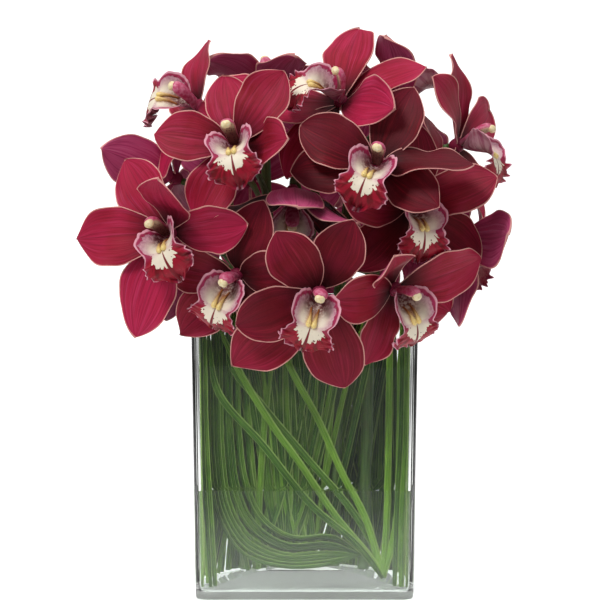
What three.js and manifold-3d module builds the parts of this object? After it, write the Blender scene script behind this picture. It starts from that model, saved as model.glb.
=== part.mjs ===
// Burgundy cymbidium orchids in a rectangular glass vase.
// Millimetres, +Z up. The origin is the centre of the vase's underside, +X is to the right of the
// front view and -Y points out of the front.

import * as THREE from 'three';
import { mergeVertices } from 'three/addons/utils/BufferGeometryUtils.js';
import Module from 'manifold-3d';

const wasm = await Module();
wasm.setup();

// Vase
const VASE_HEIGHT = 203;
const VASE_TOP_WIDTH = 152;
const VASE_TOP_DEPTH = 76;
const VASE_FOOT_WIDTH = 147;
const VASE_FOOT_DEPTH = 73.5;
const VASE_CORNER_RADIUS = 9;
const VASE_WALL = 4.5;
const VASE_RIM_BEVEL = 1;
const VASE_FOOT_BEVEL = 1.5;
const FLOOR_EDGE_HEIGHT = 6;
const FLOOR_RISE = 13;
const CORNER_STEPS = 3;

// Water
const WATER_LEVEL = 74;

// Clearance between neighbouring pieces
const GAP = 0.3;

// Flower stems
const STEM_DIAMETER = 8;
const STALK_DIAMETER = 4.4;
const STEM_SIDES = 7;
const STEM_STEPS = 4;
const STALK_SIDES = 5;
const STALK_STEPS = 3;

// Blooms
const TEPAL_LENGTH = 58;
const TEPAL_WIDTH = 35;
const TEPAL_THICKNESS = 1.4;
const TEPAL_EDGE_THICKNESS = 0.8;
const TEPAL_ROOT = 3.2;
const HUB_SIDES = 6;
const HUB_BACK = 6;
const HUB_RINGS = [[-HUB_BACK, 2.2], [-2.8, 4.8], [2.2, 4.8]];
const LIP_THICKNESS = 1;
const TEST_CLEARANCE = 0.4;

// Grass
const BLADE_THICKNESS = 0.8;
const BLADE_TILTS = [0.21, -0.17];
const SLOT_FOOT = 5;
const SLOT_END = 3;

// A tepal's outline: how far along it, and its width as a share of the widest.
const TEPAL_STATIONS = [
  [0, 0.12],
  [0.25, 0.66],
  [0.55, 1],
  [0.8, 0.84],
  [1, 0.28],
];

// Petals stand a little forward of the sepals: rise at the root, total bend backward, cup of the edges.
const SEPAL = { rise: 8, bend: 24, width: 0.96, cup: 0.16, root: -1 };
const PETAL = { rise: 24, bend: 36, width: 1, cup: 0.12, root: 0.4 };
const TEPAL_KINDS = [SEPAL, PETAL, PETAL, SEPAL, SEPAL];

// Each tepal of a usual bloom: angle clockwise from the top, share of the full length, lift forward,
// twist.
const USUAL_TEPALS = [
  [0, 1, 0, 0],
  [57, 1, 0, 0],
  [-57, 1, 0, 0],
  [138, 1, 0, 0],
  [-138, 1, 0, 0],
];

// The lip's rows from its root to its curled end: height and depth of its middle line in the bloom's
// axes, half width, how far its edges stand up, and the frill of its edge.
const LIP_ROWS = [
  [-2.8, 3.6, 2.4, 0.4, 0],
  [-6, 11, 12, 10, 0],
  [-9, 19, 14.5, 9, 0.4],
  [-15, 25, 13, 2.5, -1],
  [-25, 25, 16.5, -1.5, 1.4],
  [-33, 18, 11, -2, -0.8],
];

// The column's rings: height, depth, radius.
const COLUMN_RINGS = [
  [-0.6, 3, 3.3],
  [4.4, 11, 2.9],
  [7.4, 20, 3.5],
  [6.2, 24.5, 1.8],
];

// The ways that a tepal can bend clear of its neighbours: lift forward, swing sideways, length.
const LIFTS = [0, 10, -10, 20, -20, 30, -30, 40, -40, 50, -50, 60, 70];
const SWINGS = [0, 9, -9, 17, -17];
const LENGTHS = [1, 0.86, 0.72, 0.6];

// Each bloom: hub position, turn to the right and tilt upward of its face, clockwise roll, size, and
// its tepals where these differ from the usual.
const BLOOMS = [
  {
    hub: [9, -82, 209], turn: -4, tilt: -20, roll: 18, size: 1.1,
    tepals: [[7, 0.74, 0, 0], [-49, 0.72, 0, 0], [-128, 0.82, 16, 0], [150, 1.04, 0, 0], [-150, 1.12, -4, 0]],
  },
  {
    hub: [-44, -66, 303], turn: -10, tilt: 12, roll: -13, size: 0.98,
    tepals: [[0, 0.76, 0, 0], [47, 0.9, 0, 0], [-71, 0.86, 0, 0], [112, 0.9, 60, 0], [-141, 0.9, 0, 0]],
  },
  {
    hub: [46, -70, 290], turn: -8, tilt: 8, roll: 20, size: 1.04,
    tepals: [[4, 0.84, 0, 0], [72, 0.95, 0, -60], [-84, 0.84, 0, 0], [106, 0.76, 20, 0], [-114, 0.86, 0, 0]],
  },
  {
    hub: [-87, -60, 246], turn: -20, tilt: 2, roll: -28, size: 1.12,
    tepals: [[-8, 0.84, 0, 0], [48, 0.8, 62, 0], [-66, 0.92, 0, 0], [112, 0.74, 0, 30], [-131, 1.04, 0, 0]],
  },
  {
    hub: [58, -60, 210], turn: 34, tilt: -22, roll: -16, size: 1.04,
    tepals: [[-24, 0.8, 48, 0], [84, 1, 0, 0], [-78, 0.8, 0, 0], [126, 0.9, 0, 0], [-146, 0.8, 20, 0]],
  },
  {
    hub: [-44, -56, 219], turn: -24, tilt: -22, roll: 26, size: 1,
    tepals: [[0, 0.85, 0, 0], [55, 0.8, 0, 0], [-84, 0.85, 0, 0], [130, 0.95, 0, 0], [-157, 0.95, 0, 0]],
  },
  {
    hub: [24, -38, 332], turn: -30, tilt: 40, roll: 56, size: 1,
    tepals: [[0, 0.95, 0, 0], [57, 0.9, 10, 30], [-60, 1, 0, 0], [150, 1, 0, 0], [-162, 1, 20, 0]],
  },
  {
    hub: [69, -46, 262], turn: 20, tilt: -2, roll: 4, size: 1,
    tepals: [[0, 0.9, 0, 0], [62, 0.95, 10, -40], [-75, 0.9, 0, 0], [118, 1, 0, 0], [-138, 0.9, 0, 0]],
  },
  {
    hub: [-70, -28, 330], turn: -62, tilt: 24, roll: 70, size: 0.98,
    tepals: [[0, 0.85, 0, 0], [57, 0.85, 0, 0], [-90, 0.84, 0, 0], [138, 0.9, 0, 0], [-142, 0.95, 0, 0]],
  },
  { hub: [103, -18, 305], turn: 64, tilt: 10, roll: 8, size: 1 },
  { hub: [103, 4, 242], turn: 108, tilt: -14, roll: -12, size: 1.08 },
  { hub: [66, 8, 336], turn: 112, tilt: 52, roll: 20, size: 0.95 },
  { hub: [-26, 20, 342], turn: -160, tilt: 66, roll: 0, size: 0.96 },
  { hub: [-90, 10, 284], turn: -100, tilt: 22, roll: 30, size: 1 },
  { hub: [-84, 34, 226], turn: -126, tilt: -18, roll: -10, size: 1 },
  { hub: [-40, 64, 284], turn: -170, tilt: 10, roll: 6, size: 0.96 },
  { hub: [34, 66, 290], turn: 168, tilt: 12, roll: -18, size: 0.96 },
  { hub: [-6, 70, 222], turn: 184, tilt: -18, roll: 12, size: 1 },
  { hub: [68, 50, 236], turn: 138, tilt: -8, roll: 10, size: 1 },
  {
    hub: [-8, -32, 272], turn: -6, tilt: -74, roll: 10, size: 1.1,
    tepals: [[0, 0.95, 50, 0], [60, 0.95, 30, 0], [-60, 0.95, 30, 0], [138, 0.9, 0, 0], [-138, 0.9, 0, 0]],
  },
];

// Each flower stem: its foot, the place where it leaves the vase, its top, and the blooms on it with
// the height where each one's stalk starts.
const STEMS = [
  {
    foot: [-40, 2], neck: [-46, 2], top: [-54, 2, 284],
    blooms: [[4, 222], [9, 276], [14, 262], [15, 214]],
  },
  {
    foot: [-20, -2], neck: [-24, -1], top: [-27, 4, 310],
    blooms: [[2, 270], [6, 214], [13, 304], [16, 250]],
  },
  {
    foot: [0, 2], neck: [0, 1], top: [10, 2, 298],
    blooms: [[1, 214], [7, 294], [18, 216], [20, 244]],
  },
  {
    foot: [20, -2], neck: [24, -1], top: [34, 4, 304],
    blooms: [[3, 262], [5, 214], [12, 298], [17, 258]],
  },
  {
    foot: [40, 2], neck: [46, 1], top: [58, 4, 278],
    blooms: [[8, 236], [10, 272], [11, 226], [19, 216]],
  },
];

// Each sheaf of grass: its depth in the vase, blade width, how far above the floor its blades join, the
// x of that joint, and the other points of each blade as x, z pairs from the joint upward. Blades run
// from the left or outer one to the right or inner one.
const SHEAVES = [
  {
    name: 'grass_bent',
    depth: -14,
    width: 4.4,
    steps: 8,
    joint: 38,
    seat: 12,
    layers: [0, 0, 0, 0],
    blades: [
      [[14, 21], [-16, 20], [-42, 29], [-58, 54], [-63.5, 84], [-65, 133], [-65, 190]],
      [[14, 27.5], [-15, 26.5], [-38, 37], [-52, 60], [-57, 90], [-58.5, 138], [-58, 196]],
      [[16, 34], [-12, 33], [-33, 45], [-46, 68], [-50.5, 98], [-52, 142], [-51, 188]],
      [[19, 40.5], [-8, 40], [-28, 53], [-39, 76], [-43.5, 106], [-45, 146], [-44, 197]],
    ],
  },
  {
    name: 'grass_slanted',
    depth: -24,
    width: 4.8,
    steps: 5,
    joint: 53,
    seat: 2.2,
    layers: [-1.6, 0, 1.6, 0, 0, 0],
    blades: [
      [[34, 38], [4, 64], [-28, 104], [-58, 140], [-64, 178]],
      [[44, 28], [20, 57], [-3, 91], [-19, 113], [-43, 152], [-62, 194]],
      [[46, 36], [32, 59], [2, 94], [-29, 131], [-50, 160], [-46, 196]],
      [[41, 54], [26, 83], [9, 121], [-10, 157], [-22, 192]],
      [[55.5, 60], [56.5, 110], [57, 160], [58, 196]],
      [[61.5, 50], [64, 110], [64.5, 160], [65, 190]],
    ],
  },
  {
    name: 'grass_upright',
    depth: -8.6,
    width: 4.6,
    steps: 3,
    joint: -14,
    seat: 0.6,
    layers: [0, 0, 0, 0],
    blades: [
      [[-24, 60], [-36, 130], [-50, 194]],
      [[-15, 70], [-20, 130], [-28, 196]],
      [[-6, 70], [0, 130], [4, 190]],
      [[2, 62], [18, 130], [30, 196]],
    ],
  },
  {
    name: 'grass_back_left',
    depth: 12,
    width: 5,
    steps: 4,
    joint: -46,
    seat: 0.6,
    layers: [0, 0, 0, 0],
    blades: [
      [[-54, 70], [-61, 130], [-64, 192]],
      [[-46, 70], [-50, 130], [-52, 198]],
      [[-38, 70], [-36, 130], [-38, 190]],
      [[-31, 66], [-22, 130], [-20, 196]],
    ],
  },
  {
    name: 'grass_back_middle',
    depth: 18.5,
    width: 5,
    steps: 4,
    joint: 4,
    seat: 0.6,
    layers: [0, 0, 0, 0],
    blades: [
      [[-10, 66], [-30, 130], [-48, 194]],
      [[-2, 70], [-12, 130], [-20, 190]],
      [[8, 70], [8, 130], [6, 198]],
      [[18, 66], [30, 130], [40, 192]],
    ],
  },
  {
    name: 'grass_back_right',
    depth: 25,
    width: 5,
    steps: 4,
    joint: 48,
    seat: 0.6,
    layers: [0, 0, 0, 0],
    blades: [
      [[34, 62], [14, 130], [-4, 192]],
      [[41, 70], [30, 130], [24, 198]],
      [[50, 70], [52, 130], [50, 190]],
      [[58, 66], [62, 130], [63, 194]],
    ],
  },
];

const COLOURS = {
  glass: { color: 0xdfeae8, roughness: 0.03, metalness: 0, transparent: true, opacity: 0.35 },
  water: { color: 0xe6efe9, roughness: 0.02, metalness: 0, transparent: true, opacity: 0.3 },
  tepal: { color: 0x6e1526, roughness: 0.5, metalness: 0, side: THREE.DoubleSide },
  lip: { color: 0xf1dfc0, roughness: 0.45, metalness: 0, side: THREE.DoubleSide },
  stem: { color: 0x6f8a3c, roughness: 0.55, metalness: 0 },
  grass: { color: 0x3f6329, roughness: 0.5, metalness: 0, side: THREE.DoubleSide },
};

const degrees = THREE.MathUtils.degToRad;

function meshGeometry(points, triangles) {
  const positions = new Float32Array(points.length * 3);
  points.forEach((p, i) => positions.set([p.x, p.y, p.z], i * 3));
  const geometry = new THREE.BufferGeometry();
  geometry.setAttribute('position', new THREE.BufferAttribute(positions, 3));
  geometry.setIndex(triangles);
  return geometry;
}

// Rings of equal count, counter-clockwise seen against the way that they travel, closed at both ends
// by a fan round each end ring's middle.
function loft(rings) {
  const count = rings[0].length;
  const points = rings.flat();
  const triangles = [];
  for (let i = 0; i < rings.length - 1; i += 1) {
    for (let j = 0; j < count; j += 1) {
      const a = i * count + j;
      const b = i * count + ((j + 1) % count);
      triangles.push(a, b, b + count, a, b + count, a + count);
    }
  }
  const middle = (ring) => ring.reduce((sum, p) => sum.add(p), new THREE.Vector3()).divideScalar(count);
  const first = points.length;
  points.push(middle(rings[0]), middle(rings[rings.length - 1]));
  const last = (rings.length - 1) * count;
  for (let j = 0; j < count; j += 1) {
    const next = (j + 1) % count;
    triangles.push(first, next, j, first + 1, last + j, last + next);
  }
  return meshGeometry(points, triangles);
}

// A thin sheet from two grids of points, front and back, split into triangles alike on both faces.
function sheet(front, back) {
  const rows = front.length;
  const columns = front[0].length;
  const points = [...front.flat(), ...back.flat()];
  const offset = rows * columns;
  const at = (i, j) => i * columns + j;
  const triangles = [];
  for (let i = 0; i < rows - 1; i += 1) {
    for (let j = 0; j < columns - 1; j += 1) {
      const quad = [at(i, j), at(i, j + 1), at(i + 1, j + 1), at(i + 1, j)];
      for (const [a, b, c] of [[quad[0], quad[1], quad[2]], [quad[0], quad[2], quad[3]]]) {
        triangles.push(a, b, c, offset + c, offset + b, offset + a);
      }
    }
  }
  const border = [];
  for (let j = 0; j < columns - 1; j += 1) border.push(at(0, j));
  for (let i = 0; i < rows - 1; i += 1) border.push(at(i, columns - 1));
  for (let j = columns - 1; j > 0; j -= 1) border.push(at(rows - 1, j));
  for (let i = rows - 1; i > 0; i -= 1) border.push(at(i, 0));
  border.forEach((a, k) => {
    const b = border[(k + 1) % border.length];
    triangles.push(a, offset + a, offset + b, a, offset + b, b);
  });
  return outward(meshGeometry(points, triangles));
}

function signedVolume(geometry) {
  const p = geometry.getAttribute('position');
  const index = geometry.getIndex().array;
  const a = new THREE.Vector3();
  const b = new THREE.Vector3();
  const c = new THREE.Vector3();
  let volume = 0;
  for (let i = 0; i < index.length; i += 3) {
    a.fromBufferAttribute(p, index[i]);
    b.fromBufferAttribute(p, index[i + 1]);
    c.fromBufferAttribute(p, index[i + 2]);
    volume += a.dot(b.cross(c)) / 6;
  }
  return volume;
}

function outward(geometry) {
  if (signedVolume(geometry) < 0) {
    const index = geometry.getIndex().array;
    for (let i = 0; i < index.length; i += 3) {
      [index[i + 1], index[i + 2]] = [index[i + 2], index[i + 1]];
    }
  }
  return geometry;
}

function welded(geometry) {
  geometry.deleteAttribute('normal');
  geometry.deleteAttribute('uv');
  return outward(mergeVertices(geometry, 1e-4));
}

function solid(geometry) {
  const vertProperties = new Float32Array(geometry.getAttribute('position').array);
  const triVerts = new Uint32Array(geometry.getIndex().array);
  return new wasm.Manifold(new wasm.Mesh({ numProp: 3, vertProperties, triVerts }));
}

// The largest closed body of a solid. Loose scraps and the skins of sealed hollows are left behind.
function mainBody(joined) {
  const mesh = joined.getMesh();
  const { vertProperties, triVerts, numProp } = mesh;
  const parent = Array.from({ length: vertProperties.length / numProp }, (_, i) => i);
  const root = (i) => {
    let r = i;
    while (parent[r] !== r) {
      parent[r] = parent[parent[r]];
      r = parent[r];
    }
    return r;
  };
  for (let i = 0; i < triVerts.length; i += 3) {
    parent[root(triVerts[i])] = root(triVerts[i + 1]);
    parent[root(triVerts[i + 1])] = root(triVerts[i + 2]);
  }
  const bodies = new Map();
  for (let i = 0; i < triVerts.length; i += 3) {
    const key = root(triVerts[i]);
    if (!bodies.has(key)) bodies.set(key, []);
    bodies.get(key).push(triVerts[i], triVerts[i + 1], triVerts[i + 2]);
  }
  const points = [];
  for (let i = 0; i < vertProperties.length; i += numProp) {
    points.push(new THREE.Vector3(vertProperties[i], vertProperties[i + 1], vertProperties[i + 2]));
  }
  let best = null;
  let bestVolume = 0;
  for (const triangles of bodies.values()) {
    const body = meshGeometry(points, triangles);
    const volume = signedVolume(body);
    if (volume > bestVolume) {
      best = triangles;
      bestVolume = volume;
    }
  }
  const used = new Map();
  const kept = [];
  const triangles = best.map((v) => {
    if (!used.has(v)) {
      used.set(v, kept.length);
      kept.push(points[v]);
    }
    return used.get(v);
  });
  return meshGeometry(kept, triangles);
}

function fused(geometries) {
  return geometries.map(solid).reduce((sum, piece) => sum.add(piece));
}

function tube(extrudePath, diameter, sides, steps) {
  const section = new THREE.Shape();
  for (let k = 0; k < sides; k += 1) {
    const angle = (k / sides) * Math.PI * 2;
    const x = Math.cos(angle) * diameter * 0.5;
    const y = Math.sin(angle) * diameter * 0.5;
    if (k === 0) section.moveTo(x, y);
    else section.lineTo(x, y);
  }
  section.closePath();
  return welded(new THREE.ExtrudeGeometry(section, { steps, bevelEnabled: false, extrudePath }));
}

// Vase

function outerSize(z) {
  const t = z / VASE_HEIGHT;
  return [
    THREE.MathUtils.lerp(VASE_FOOT_WIDTH, VASE_TOP_WIDTH, t),
    THREE.MathUtils.lerp(VASE_FOOT_DEPTH, VASE_TOP_DEPTH, t),
  ];
}

function roundedRing(width, depth, radius, z) {
  const ring = [];
  const corners = [[1, -1, -90], [1, 1, 0], [-1, 1, 90], [-1, -1, 180]];
  for (const [sx, sy, start] of corners) {
    for (let k = 0; k <= CORNER_STEPS; k += 1) {
      const angle = degrees(start + (90 * k) / CORNER_STEPS);
      const x = sx * (width / 2 - radius) + Math.cos(angle) * radius;
      const y = sy * (depth / 2 - radius) + Math.sin(angle) * radius;
      ring.push(new THREE.Vector3(x, y, z));
    }
  }
  return ring;
}

// A ring of the vase's plan at height z, moved inward by the inset.
function vaseRing(z, inset) {
  const [width, depth] = outerSize(z);
  return roundedRing(width - 2 * inset, depth - 2 * inset, VASE_CORNER_RADIUS - inset, z);
}

// The floor is a low dome: its height above the edge falls from the middle to the walls.
function floorHeight(share) {
  return FLOOR_EDGE_HEIGHT + FLOOR_RISE * (1 - share * share);
}

function floorRings(inset, lift) {
  const shares = [1, 0.8, 0.55, 0.28];
  return shares.map((share) => {
    const z = floorHeight(share) + lift;
    const edge = vaseRing(FLOOR_EDGE_HEIGHT + lift, inset);
    return edge.map((p) => new THREE.Vector3(p.x * share, p.y * share, z));
  });
}

function vase() {
  const outer = [
    vaseRing(0, VASE_FOOT_BEVEL),
    vaseRing(VASE_FOOT_BEVEL, 0),
    vaseRing(VASE_HEIGHT - VASE_RIM_BEVEL, 0),
    vaseRing(VASE_HEIGHT, VASE_RIM_BEVEL),
    vaseRing(VASE_HEIGHT, VASE_WALL - VASE_RIM_BEVEL),
    vaseRing(VASE_HEIGHT - VASE_RIM_BEVEL, VASE_WALL),
  ];
  return loft([...outer, ...floorRings(VASE_WALL, 0)]);
}

function water(cutters) {
  const skin = VASE_WALL + GAP;
  const floor = floorRings(skin, GAP).reverse();
  const body = loft([...floor, vaseRing(WATER_LEVEL, skin)]);
  return mainBody(cutters.reduce((rest, cutter) => rest.subtract(cutter), solid(body)));
}

// Height of the glass floor at a point.
function floorUnder(x, y) {
  const [width, depth] = outerSize(FLOOR_EDGE_HEIGHT);
  const share = Math.max(Math.abs(x) / (width / 2 - VASE_WALL), Math.abs(y) / (depth / 2 - VASE_WALL));
  return floorHeight(share);
}

// The lowest height at which something round can stand on the floor.
function standingHeight(x, y, radius) {
  const places = [[0, 0], [1, 0], [-1, 0], [0, 1], [0, -1]];
  return Math.max(...places.map(([i, j]) => floorUnder(x + i * radius, y + j * radius))) + GAP;
}

// Grass

// A blade's middle line, from the joint on the floor up to its tip.
function bladePath(sheaf, index) {
  const joint = [sheaf.joint, standingHeight(sheaf.joint, sheaf.depth, sheaf.width / 2) + sheaf.seat];
  const points = [joint, ...sheaf.blades[index]];
  return new THREE.CatmullRomCurve3(points.map(([x, z], k) => {
    const y = sheaf.depth + (k === 0 ? 0 : sheaf.layers[index]);
    return new THREE.Vector3(x, y, z);
  }));
}

// The direction across a blade, seen from the front.
function acrossBlade(along) {
  return new THREE.Vector3(along.z, 0, -along.x).normalize();
}

function bladeSheet(sheaf, index) {
  const path = bladePath(sheaf, index);
  const tilt = BLADE_TILTS[index % BLADE_TILTS.length];
  const front = [];
  const back = [];
  for (let i = 0; i <= sheaf.steps; i += 1) {
    const t = i / sheaf.steps;
    const centre = path.getPointAt(t);
    const along = path.getTangentAt(t);
    const side = acrossBlade(along).multiplyScalar(Math.cos(tilt));
    side.y = Math.sin(tilt);
    const normal = new THREE.Vector3().crossVectors(along, side).normalize();
    const taper = t > 0.82 ? 1 - (t - 0.82) * 3.2 : 1;
    const edges = [-1, 1].map((s) => centre.clone().addScaledVector(side, s * sheaf.width * 0.5 * taper));
    front.push(edges.map((p) => p.clone().addScaledVector(normal, BLADE_THICKNESS * 0.5)));
    back.push(edges.map((p) => p.clone().addScaledVector(normal, BLADE_THICKNESS * -0.5)));
  }
  return sheet(front, back);
}

function sheafSolid(sheaf) {
  return fused(sheaf.blades.map((_, index) => bladeSheet(sheaf, index)));
}

// The slot that a sheaf stands in: the outline of its blades under water, cut through front to back.
function sheafSlot(sheaf) {
  const margin = sheaf.width * 0.5 + 3 * GAP;
  const outlines = [[0, -1], [sheaf.blades.length - 1, 1]].map(([index, sign]) => {
    const path = bladePath(sheaf, index);
    const edge = [];
    for (let k = 0; k <= sheaf.steps; k += 1) {
      const t = k / sheaf.steps;
      const along = path.getTangentAt(t);
      const centre = path.getPointAt(t).addScaledVector(along, k === 0 ? -SLOT_END : 0);
      const point = centre.addScaledVector(acrossBlade(along), sign * margin);
      edge.push(new THREE.Vector2(point.x, point.z));
      if (point.z > WATER_LEVEL + 6) break;
    }
    return edge;
  });
  if (sheaf.seat < SLOT_FOOT) {
    outlines.forEach((edge) => edge.unshift(new THREE.Vector2(edge[0].x, edge[0].y - SLOT_FOOT)));
  }
  const outline = [...outlines[0], ...outlines[1].reverse()];
  const deepest = Math.max(...sheaf.layers.map(Math.abs));
  const thickness = 2 * (deepest + sheaf.width * 0.5 * Math.sin(BLADE_TILTS[0]) + BLADE_THICKNESS + GAP);
  const slot = new THREE.ExtrudeGeometry(new THREE.Shape(outline), { depth: thickness, bevelEnabled: false });
  slot.rotateX(Math.PI / 2);
  slot.translate(0, sheaf.depth + thickness / 2, 0);
  return solid(welded(slot));
}

// Blooms

// A bloom's own axes: right and up across its face, and out of its face toward the viewer.
function bloomFrame(bloom) {
  const turn = degrees(bloom.turn);
  const tilt = degrees(bloom.tilt);
  const out = new THREE.Vector3(
    Math.sin(turn) * Math.cos(tilt),
    -Math.cos(turn) * Math.cos(tilt),
    Math.sin(tilt),
  );
  const right = new THREE.Vector3(0, 0, 1).cross(out).normalize();
  const up = new THREE.Vector3().crossVectors(out, right);
  const roll = degrees(bloom.roll);
  const rolledUp = up.clone().multiplyScalar(Math.cos(roll)).addScaledVector(right, Math.sin(roll));
  const rolledRight = new THREE.Vector3().crossVectors(rolledUp, out);
  return { hub: new THREE.Vector3(...bloom.hub), right: rolledRight, up: rolledUp, out };
}

function place(frame, x, y, z) {
  return frame.hub.clone()
    .addScaledVector(frame.right, x)
    .addScaledVector(frame.up, y)
    .addScaledVector(frame.out, z);
}

// One tepal as a thin cupped blade. The bend is its lift forward, swing sideways and length.
function tepalSheet(frame, bloom, index, bend, grow) {
  const kind = TEPAL_KINDS[index];
  const [usualAngle, share, lift, twist] = (bloom.tepals ?? USUAL_TEPALS)[index];
  const angle = degrees(usualAngle + bend.swing);
  const direction = frame.right.clone().multiplyScalar(Math.sin(angle))
    .addScaledVector(frame.up, Math.cos(angle));
  const across = new THREE.Vector3().crossVectors(frame.out, direction);
  const length = TEPAL_LENGTH * bloom.size * share * bend.length + grow;
  const width = TEPAL_WIDTH * bloom.size * kind.width * (1 + share) * 0.5;
  const pieces = 20;
  const centres = [
    frame.hub.clone().addScaledVector(direction, TEPAL_ROOT).addScaledVector(frame.out, kind.root),
  ];
  const slopes = [];
  for (let k = 0; k <= pieces; k += 1) {
    const s = k / pieces;
    const ease = THREE.MathUtils.smoothstep(s, 0.02, 0.4);
    const slope = degrees(kind.rise - kind.bend * s + (lift + bend.lift) * ease);
    slopes.push(slope);
    if (k < pieces) {
      const step = length / pieces;
      centres.push(centres[k].clone()
        .addScaledVector(direction, Math.cos(slope) * step)
        .addScaledVector(frame.out, Math.sin(slope) * step));
    }
  }
  const front = [];
  const back = [];
  TEPAL_STATIONS.forEach(([s, widthShare], row) => {
    const k = Math.round(s * pieces);
    const facing = frame.out.clone().multiplyScalar(Math.cos(slopes[k]))
      .addScaledVector(direction, -Math.sin(slopes[k]));
    const turn = degrees(twist) * THREE.MathUtils.smoothstep(s, 0, 0.5);
    const side = across.clone().multiplyScalar(Math.cos(turn)).addScaledVector(facing, Math.sin(turn));
    const normal = facing.multiplyScalar(Math.cos(turn)).addScaledVector(across, -Math.sin(turn));
    const half = width * widthShare * 0.5 + grow;
    const wave = row > 1 && row < 4 ? Math.sin(row * 2.1 + index * 1.7) * 1.1 : 0;
    const faces = [-1, 0, 1].map((v) => {
      const rise = v === 0 ? 0 : kind.cup * half + wave * v;
      const thick = (v === 0 ? TEPAL_THICKNESS : TEPAL_EDGE_THICKNESS) * 0.5 + grow;
      const middle = centres[k].clone().addScaledVector(side, v * half).addScaledVector(normal, rise);
      return [
        middle.clone().addScaledVector(normal, thick),
        middle.clone().addScaledVector(normal, -thick),
      ];
    });
    front.push(faces.map((face) => face[0]));
    back.push(faces.map((face) => face[1]));
  });
  return sheet(front, back);
}

// The hub is a short six-sided bud shape, blunt in front and pointed behind.
function hubGeometry(frame) {
  const rings = HUB_RINGS.map(([z, radius]) => Array.from({ length: HUB_SIDES }, (_, k) => {
    const angle = (k / HUB_SIDES) * Math.PI * 2;
    return place(frame, Math.cos(angle) * radius, Math.sin(angle) * radius, z);
  }));
  return outward(loft(rings));
}

function lipSheet(frame) {
  const front = [];
  const back = [];
  LIP_ROWS.forEach(([y, z, half, stand, frill], row) => {
    const [y0, z0] = LIP_ROWS[Math.max(row - 1, 0)];
    const [y1, z1] = LIP_ROWS[Math.min(row + 1, LIP_ROWS.length - 1)];
    const size = Math.hypot(y1 - y0, z1 - z0);
    const normalY = (z1 - z0) / size;
    const normalZ = -(y1 - y0) / size;
    const faces = [-1, -0.5, 0, 0.5, 1].map((v) => {
      const edge = Math.abs(v) === 1 ? 1 : 0;
      const rise = stand * v * v + frill * (edge ? 1 : -0.4 * Math.abs(v));
      const x = half * v * (1 - 0.12 * v * v * (stand > 5 ? 1 : 0));
      const thick = LIP_THICKNESS * 0.5;
      return [rise + thick, rise - thick].map((r) => place(frame, x, y + normalY * r, z + normalZ * r));
    });
    front.push(faces.map((face) => face[0]));
    back.push(faces.map((face) => face[1]));
  });
  return sheet(front, back);
}

function columnGeometry(frame) {
  const sides = 6;
  const rings = COLUMN_RINGS.map(([y, z, radius], i) => {
    const [y0, z0] = COLUMN_RINGS[Math.max(i - 1, 0)];
    const [y1, z1] = COLUMN_RINGS[Math.min(i + 1, COLUMN_RINGS.length - 1)];
    const size = Math.hypot(y1 - y0, z1 - z0);
    const level = i === 0 ? 1 : (z1 - z0) / size;
    const slope = i === 0 ? 0 : (y1 - y0) / size;
    return Array.from({ length: sides }, (_, k) => {
      const angle = (k / sides) * Math.PI * 2;
      const a = Math.cos(angle) * radius;
      const b = Math.sin(angle) * radius;
      return place(frame, a, y + b * level, z - b * slope);
    });
  });
  return outward(loft(rings));
}

function lipSolid(frame) {
  return fused([lipSheet(frame), columnGeometry(frame)]);
}

// Flower stems

// The stalk leaves the stem upward and meets the back of the bloom's hub square on.
function stalkPath(start, frame) {
  const end = place(frame, 0, 0, -HUB_BACK - GAP);
  const reach = start.distanceTo(end);
  const approach = end.clone().addScaledVector(frame.out, -reach * 0.4);
  const leave = start.clone().add(new THREE.Vector3(
    (end.x - start.x) * 0.18,
    (end.y - start.y) * 0.18,
    reach * 0.2,
  ));
  return new THREE.CubicBezierCurve3(start, leave, approach, end);
}

function stemPath(stem) {
  const [x, y] = stem.foot;
  const foot = new THREE.Vector3(x, y, standingHeight(x, y, STEM_DIAMETER / 2));
  const neck = new THREE.Vector3(stem.neck[0], stem.neck[1], VASE_HEIGHT);
  const top = new THREE.Vector3(...stem.top);
  return new THREE.CatmullRomCurve3([foot, foot.clone().lerp(neck, 0.5), neck, top]);
}

function stemPointAt(path, height) {
  let best = path.getPoint(0);
  for (let k = 1; k <= 200; k += 1) {
    const point = path.getPoint(k / 200);
    if (Math.abs(point.z - height) < Math.abs(best.z - height)) best = point;
  }
  return best;
}

function stemSolid(stem, frames) {
  const path = stemPath(stem);
  const pieces = [tube(path, STEM_DIAMETER, STEM_SIDES, STEM_STEPS)];
  for (const [number, height] of stem.blooms) {
    const start = stemPointAt(path, height);
    pieces.push(tube(stalkPath(start, frames[number - 1]), STALK_DIAMETER, STALK_SIDES, STALK_STEPS));
  }
  return fused(pieces);
}

function stemCutter(stem) {
  const path = stemPath(stem);
  const foot = path.getPoint(0);
  const below = foot.clone().addScaledVector(path.getTangent(0), -6);
  const above = stemPointAt(path, WATER_LEVEL + 20);
  const hole = new THREE.LineCurve3(below, above);
  return solid(tube(hole, STEM_DIAMETER + 6 * GAP, STEM_SIDES, 1));
}

// Bloom placing

function boundsOf(geometry) {
  geometry.computeBoundingBox();
  return geometry.boundingBox;
}

function touches(piece, others) {
  return others.some((other) => {
    if (!piece.box.intersectsBox(other.box)) return false;
    const common = piece.solid.intersect(other.solid);
    const hit = common.getMesh().triVerts.length > 0;
    common.delete();
    return hit;
  });
}

function obstacle(joined) {
  const geometry = mainBody(joined);
  return { solid: solid(geometry), box: boundsOf(geometry) };
}

function bendChoices() {
  const choices = [];
  for (const length of LENGTHS) {
    for (const lift of LIFTS) {
      for (const swing of SWINGS) {
        const cost = Math.abs(lift) + 1.3 * Math.abs(swing) + (1 - length) * 190;
        choices.push({ lift, swing, length, cost });
      }
    }
  }
  return choices.sort((a, b) => a.cost - b.cost);
}

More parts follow.
